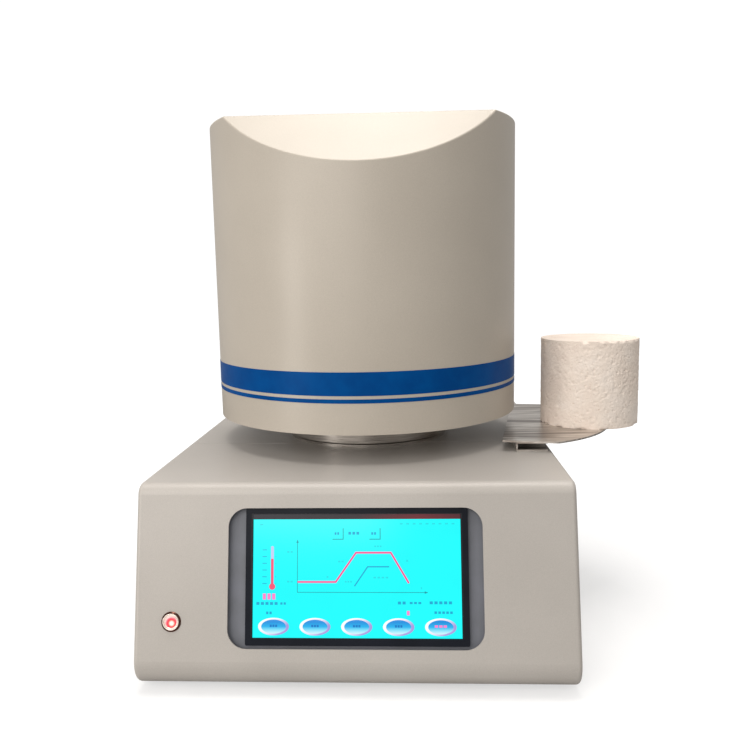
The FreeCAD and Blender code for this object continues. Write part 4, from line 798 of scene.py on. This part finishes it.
def power_button(materials):
    """Bezel with a sloping chrome rim darkened by a painted reflection, bright dished cap and domed lit lens,
    turned about the button's axis.
    """
    outward = -PANEL_IN
    axis_at = centre_of("button_lens")
    face = axis_at + outward * (-panel_reach("button_bezel")[0] - axis_at.dot(outward))
    place = towards(outward, face) @ Matrix.Scale(MM, 4)
    flange, cap_radius, lens_radius = (half_width(f"button_{part}") for part in ("bezel", "cap", "lens"))
    bore, barrel = cap_radius + BUTTON_CLEARANCE, flange - BUTTON_SLOPE
    slope = [(barrel, 0.0), (flange - 0.2, -1.05), (flange, -1.3), (flange, -BUTTON_PROUD)]
    ring = [(bore, -BORE_DEPTH), (bore, -0.3), (bore + 0.15, -0.02), *slope]
    ring += [(barrel, -BUTTON_PROUD), (barrel, -BUTTON_LENGTH), (0, -BUTTON_LENGTH), (0, -BORE_DEPTH)]
    vertices, faces = turned(rounded(ring, 0.18), 96)
    on_slope = []
    for corners in faces:
        spots = [vertices[index] for index in corners]
        reach = sum(math.hypot(spot.x, spot.y) for spot in spots) / len(spots)
        height = sum(spot.z for spot in spots) / len(spots)
        on_slope.append(int(reach > barrel + 0.1 and height > 0.05 - BUTTON_PROUD))
    bezel = piece(
        "button_bezel_turned", vertices, faces, [materials["button_metal"], materials["button_chrome"]],
        "console", "button_chrome", matrix=place, face_materials=on_slope,
    )
    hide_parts("button_bezel")
    cap = [(0, -LENS_SEAT), (lens_radius, -LENS_SEAT), (lens_radius, -0.65), (lens_radius + 0.2, -0.4)]
    cap += [(cap_radius - 0.25, -0.37), (cap_radius, -0.55), (cap_radius, -CAP_DEPTH), (0, -CAP_DEPTH)]
    dished = piece(
        "button_cap_dished", *turned(rounded(cap, 0.12), 96), [materials["button_metal"]],
        "push_button", "button_metal", matrix=place,
    )
    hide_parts("button_cap")
    turns = [math.pi / 2 * step / LENS_STEPS for step in range(1, LENS_STEPS + 1)]
    dome = [(lens_radius * math.sin(turn), LENS_RISE * math.cos(turn) - LENS_RIM) for turn in turns]
    foot = 0.15 - LENS_SEAT
    lens = [(0, LENS_RISE - LENS_RIM), *dome, (lens_radius, foot), (0, foot)]
    domed = piece(
        "button_lens_domed", *turned(lens, 64), [lens_glow_and_highlight()], "push_button", "button_lens", matrix=place
    )
    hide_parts("button_lens")


def lens_glow_and_highlight():
    """Red lit lens with a painted highlight: a white spot below and right of its middle."""
    glow = Surface("lens_glow_and_highlight", Base_Color=(0.4, 0.02, 0.02), Roughness=0.12, Emission_Strength=1.0)
    offset = glow.node("VectorMath", settings={"operation": "DISTANCE"}, out="Value", Vector=glow.place)
    offset.node.inputs[1].default_value = (0.7, -0.9, -0.5)
    # White around the offset point is a painted highlight; the red around it is the lens's own glow.
    glow.emission(
        glow.ramp(
            glow.between(offset, 0.0, 1.0, 0.0, 5.4),
            (0.0, (1.0, 1.0, 0.95)),
            (0.24, (1.0, 0.95, 0.84)),
            (0.38, (0.98, 0.3, 0.22)),
            (0.52, (0.9, 0.01, 0.04)),
            (0.72, (0.9, 0.16, 0.22)),
            (0.9, (1.0, 0.72, 0.68)),
        )
    )
    return glow.material


# ---------------------------------------------------------------- fibre plug

PLUG_STEPS, PLUG_ROWS, PLUG_RINGS = 400, 130, 40
PLUG_PITS, PLUG_SMALL_PITS = 900, 0.88
PLUG_PATCH_TURN = 12
PLUG_ROUGHNESS = ((6, 0.22), (17, 0.16), (45, 0.16))
PLUG_END_ROUGHNESS = ((0.35, 0.16), (1.1, 0.1))
PLUG_INSET, PLUG_WALL_PEAK, PLUG_WALL_DROP = 0.25 * MM, 0.15, 0.1
PLUG_END_DROP, PLUG_END_MIDDLE, PLUG_END_FADE = 0.26, 0.2, 16
PLUG_CHIPS = (
    # angle from the front in degrees, towards +X; half width; depth and height in mm; at the top?
    (-17, 5, 1.8, 2.4, True),
    (2, 5, 0.9, 1.4, True),
    (14, 7, 1.2, 1.8, True),
    (27, 6, 1.5, 2.2, True),
    (40, 8, 1.3, 2.6, True),
    (55, 7, 1.0, 2.0, True),
    (120, 12, 1.3, 2.0, True),
    (210, 9, 1.2, 1.8, True),
    (-72, 8, 0.8, 2.2, False),
    (-48, 7, 0.9, 1.8, False),
    (-20, 9, 0.9, 2.0, False),
    (8, 7, 1.0, 1.8, False),
    (60, 10, 1.2, 3.2, False),
    (150, 12, 1.6, 3.0, False),
    (235, 10, 1.4, 2.6, False),
)


def plug_pits(height):
    """Places on the wall with a radius and a depth, in metres: every third in a patch on the front."""
    pits = []
    for index in range(PLUG_PITS):
        if index % 3:
            angle, z = random.uniform(0, 2 * math.pi), random.uniform(0.03, 0.97) * height
        else:
            angle = random.gauss(math.radians(PLUG_PATCH_TURN - 90), 0.5)
            z = random.gauss(0.55, 0.17) * height
        small = random.random() < PLUG_SMALL_PITS
        size = random.uniform(0.5, 0.85) if small else random.uniform(0.85, 1.4)
        pits.append((angle, z, size * MM, size * random.uniform(0.4, 0.75) * MM))
    return pits


def chip_depth(angle, z, height):
    """How far the wall is broken away near the top or bottom edge, in metres."""
    deepest = 0.0
    for middle, half, depth, tall, top in PLUG_CHIPS:
        around = math.radians(middle - 90)
        apart = abs((angle - around + math.pi) % (2 * math.pi) - math.pi) / math.radians(half)
        down = (height - z if top else z) / (tall * MM)
        if apart < 1 and down < 1:
            ragged = 0.75 + 0.5 * noise.noise(Vector((angle * 22, z / MM * 0.8, depth)))
            deepest = max(deepest, depth * MM * (1 - apart**2) * (1 - down) * 1.5 * ragged)
    return deepest


def around_z(reach, step, z):
    """The point of a plug's step at a reach and a height."""
    angle = 2 * math.pi * step / PLUG_STEPS
    return Vector((reach * math.cos(angle), reach * math.sin(angle), z))


def plug_wall(radius, height):
    """The reach of the rough wall for each row and step, with its chips and pits."""
    wall = [[radius] * PLUG_STEPS for _ in range(PLUG_ROWS + 1)]
    for row in range(PLUG_ROWS + 1):
        z = height * row / PLUG_ROWS
        for step in range(PLUG_STEPS):
            angle = 2 * math.pi * step / PLUG_STEPS
            around = Vector((math.cos(angle), math.sin(angle), z / radius))
            rough = sum(share * noise.noise(around * pitch) for pitch, share in PLUG_ROUGHNESS)
            swell = (min(rough, PLUG_WALL_PEAK) - PLUG_WALL_DROP) * MM
            wall[row][step] += swell - chip_depth(angle, z, height)
    row_high, step_wide = height / PLUG_ROWS, 2 * math.pi * radius / PLUG_STEPS
    for angle, z, size, depth in plug_pits(height):
        middle_row, middle_step = z / row_high, angle / (2 * math.pi) * PLUG_STEPS
        rows, steps = int(size * 2 / row_high) + 1, int(size * 2 / step_wide) + 1
        for row in range(int(middle_row) - rows, int(middle_row) + rows + 1):
            if not 0 <= row <= PLUG_ROWS:
                continue
            for step in range(int(middle_step) - steps, int(middle_step) + steps + 1):
                away = math.hypot((row - middle_row) * row_high, (step - middle_step) * step_wide) / size
                wall[row][step % PLUG_STEPS] -= depth * math.exp(-(away**2))
    return wall


def plug_end(vertices, faces, edge, outer, z, bulge):
    """Close an end, from the wall's edge to the middle, with an uneven flat in rings."""
    for ring in range(PLUG_RINGS - 1, 0, -1):
        share = ring / PLUG_RINGS
        inner = len(vertices)
        for step in range(PLUG_STEPS):
            spot = around_z(edge[step] * share, step, 0) / MM
            uneven = sum(part * noise.noise(spot * pitch) for pitch, part in PLUG_END_ROUGHNESS)
            uneven += PLUG_END_DROP
            fade = min(1.0, (1 - share) * PLUG_END_FADE)
            vertices.append(spot * MM + Vector((0, 0, z + bulge * uneven * fade * MM)))
        for step in range(PLUG_STEPS):
            after = (step + 1) % PLUG_STEPS
            faces.append((outer + step, outer + after, inner + after, inner + step))
        outer = inner
    vertices.append(Vector((0, 0, z + bulge * PLUG_END_MIDDLE * MM)))
    tip = len(vertices) - 1
    faces += [(outer + step, outer + (step + 1) % PLUG_STEPS, tip) for step in range(PLUG_STEPS)]


def fibre_plug(material):
    """Pressed fibre block: rough wall with pits, chipped rims and uneven flat ends."""
    random.seed(12)
    low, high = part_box("fibre_plug")
    centre = (low + high) / 2
    height = high.z - low.z
    wall = plug_wall((high.x - low.x) / 2 - PLUG_INSET, height)
    vertices, faces = [], []
    for row, reaches in enumerate(wall):
        vertices += [around_z(reach, step, height * row / PLUG_ROWS) for step, reach in enumerate(reaches)]
    for row in range(PLUG_ROWS):
        below, above = row * PLUG_STEPS, (row + 1) * PLUG_STEPS
        for step in range(PLUG_STEPS):
            after = (step + 1) % PLUG_STEPS
            faces.append((below + step, below + after, above + after, above + step))
    plug_end(vertices, faces, wall[0], 0, 0.0, 1)
    plug_end(vertices, faces, wall[PLUG_ROWS], PLUG_ROWS * PLUG_STEPS, height, -1)
    place = Matrix.Translation((centre.x, centre.y, low.z))
    made = piece("plug_block", vertices, faces, [material], "plug", "plug_fibre", crease=80, matrix=place)
    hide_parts("fibre_plug")


# ---------------------------------------------------------------- threads and screws

THREAD_STARTS, THREAD_LEAD = 2, 8 * MM
THREAD_DEPTH = 1.1 * MM
THREAD_STEPS, THREAD_ROWS_PER_LEAD = 40, 20
CREST_HALF, FLANK = 0.14, 0.16
JOURNAL = 14 * MM
CROSS_TURN, CROSS_TURN_EACH = 0.5, 1.3


def lead_screw(material):
    """The lead screw with its trapezoidal thread between two plain journals."""
    low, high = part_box("lead_screw")
    centre, radius = centre_of("lead_screw"), (high.x - low.x) / 2
    start, end = low.z + JOURNAL, high.z - JOURNAL
    rows = int((end - start) / THREAD_LEAD * THREAD_ROWS_PER_LEAD)
    levels = [low.z, start - 0.5 * MM] + [start + (end - start) * row / rows for row in range(rows + 1)]
    levels += [end + 0.5 * MM, high.z]
    vertices, faces = [Vector((0, 0, low.z))], []
    for level in levels:
        threaded = start <= level <= end
        for step in range(THREAD_STEPS):
            turn = step / THREAD_STEPS
            phase = (level / THREAD_LEAD - turn) * THREAD_STARTS % 1.0
            flank = min(1.0, max(0.0, (abs(phase - 0.5) - CREST_HALF) / FLANK))
            reach = radius - (THREAD_DEPTH * flank if threaded else 0.0)
            angle = 2 * math.pi * turn
            vertices.append(Vector((reach * math.cos(angle), reach * math.sin(angle), level)))
    for row in range(len(levels) - 1):
        for step in range(THREAD_STEPS):
            after = (step + 1) % THREAD_STEPS
            base = 1 + row * THREAD_STEPS
            faces.append((base + step, base + after, base + after + THREAD_STEPS, base + step + THREAD_STEPS))
    vertices.append(Vector((0, 0, high.z)))
    last = 1 + (len(levels) - 1) * THREAD_STEPS
    for step in range(THREAD_STEPS):
        after = (step + 1) % THREAD_STEPS
        faces.append((0, 1 + after, 1 + step))
        faces.append((last + step, last + after, len(vertices) - 1))
    place = Matrix.Translation((centre.x, centre.y, 0))
    made = piece(
        "lead_screw_threaded", vertices, faces, [material], "screw_assembly", "machined_steel",
        crease=50, matrix=place,
    )
    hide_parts("lead_screw")


def cross_head(radius, thick, dome, slot_long, slot_wide, deep):
    """A screw head with a cross recess, its top at height 0: rim, sloping ring, and a tapered cross."""
    long, wide = slot_long / 2, slot_wide / 2
    corner = [(long, -wide), (long, wide), (wide, wide)]
    cross = []
    for quarter in range(4):
        turn = Matrix.Rotation(math.pi / 2 * quarter, 2)
        cross += [turn @ Vector(point) for point in corner]
    steps_each = 4
    count = len(cross) * steps_each
    outline = []
    for index, point in enumerate(cross):
        after = cross[(index + 1) % len(cross)]
        outline += [point.lerp(after, step / steps_each) for step in range(steps_each)]
    angles = [math.atan2(point.y, point.x) for point in outline]
    rings = [
        [Vector((point.x * 0.55, point.y * 0.55, -deep)) for point in outline],
        [Vector((point.x, point.y, 0)) for point in outline],
    ]
    for share, drop in ((0.72, 0.0), (0.94, dome * 0.35), (1.0, dome)):
        reach = radius * share
        rings.append([Vector((reach * math.cos(a), reach * math.sin(a), -drop)) for a in angles])
    rings.append([Vector((radius * math.cos(a), radius * math.sin(a), -thick)) for a in angles])
    vertices = [vertex for ring in rings for vertex in ring]
    faces = [tuple(range(count)), tuple(range((len(rings) - 1) * count, len(rings) * count))]
    for ring in range(len(rings) - 1):
        for index in range(count):
            after = (index + 1) % count
            base = ring * count
            faces.append((base + index, base + after, base + count + after, base + count + index))
    return vertices, faces


def solids_of(node):
    """The separate solids of a node, each as a list of its points, always in the same order."""
    work = bmesh.new()
    work.from_mesh(NODES[node].data)
    bmesh.ops.remove_doubles(work, verts=work.verts, dist=1e-6)
    unseen, groups = set(work.verts), []
    for first in work.verts:
        if first not in unseen:
            continue
        unseen.discard(first)
        stack, group = [first], []
        while stack:
            vertex = stack.pop()
            group.append(vertex.co.copy())
            for edge in vertex.link_edges:
                other = edge.other_vert(vertex)
                if other in unseen:
                    unseen.discard(other)
                    stack.append(other)
        groups.append(group)
    work.free()
    return groups


def cross_screws(name, node, outward_of, body, dome, material):
    """Rebuild each screw of a node as a head with a cross recess on a plain shank."""
    shapes = []
    for number, points in enumerate(solids_of(node)):
        middle = sum(points, Vector()) / len(points)
        outward = outward_of(middle)
        along = [point.dot(outward) for point in points]
        top, bottom = max(along), min(along)
        axis = Vector([(max(p[i] for p in points) + min(p[i] for p in points)) / 2 for i in range(3)])
        axis -= outward * axis.dot(outward)
        spread = [((point - outward * point.dot(outward)) - axis).length for point in points]
        radius = max(spread)
        head_low = min(level for level, far in zip(along, spread) if far > radius - 1e-5)
        shank = min(far for far in spread if far > 0.2 * MM)
        turn = Matrix.Rotation(CROSS_TURN + number * CROSS_TURN_EACH, 4, "Z")
        size = (radius * 1.2, radius * 0.26, min(radius * 0.45, (top - head_low) * 0.8))
        head = cross_head(radius, top - head_low, dome, *size)
        shapes.append(moved(head, towards(outward, axis + outward * top) @ turn))
        post = [(0, 0), (shank, 0), (shank, head_low - bottom), (0, head_low - bottom)]
        shapes.append(moved(turned(post, 24), towards(outward, axis + outward * bottom)))
    made = piece(name, *merged(*shapes), [material], body, "screw_steel")
    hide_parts(node)


def all_screws(material):
    """Screws of the cover face sideways, those of the hood outward, those of the tray up."""
    head_axis = centre_of("hood_shell")
    cross_screws(
        "cover_screws_cross", "cover_screws",
        lambda at: Vector((math.copysign(1, at.x), 0, 0)), "console", 0.0, material,
    )
    cross_screws(
        "hood_screws_cross", "hood_screws",
        lambda at: Vector((at.x - head_axis.x, at.y - head_axis.y, 0)).normalized(), "firing_head",
        0.4 * MM, material,
    )
    cross_screws(
        "tray_screws_cross", "tray_screws", lambda at: Vector((0, 0, 1)), "console", 0.4 * MM, material
    )


# ---------------------------------------------------------------- the whole model

MATERIALS = slot_materials()
make_camera()
light_scene()
make_floor()
dress_nodes(MATERIALS)
screen_picture()
screen_mask()
power_button(MATERIALS)
fibre_plug(MATERIALS["plug_fibre"])
lead_screw(MATERIALS["machined_steel"])
all_screws(MATERIALS["screw_steel"])
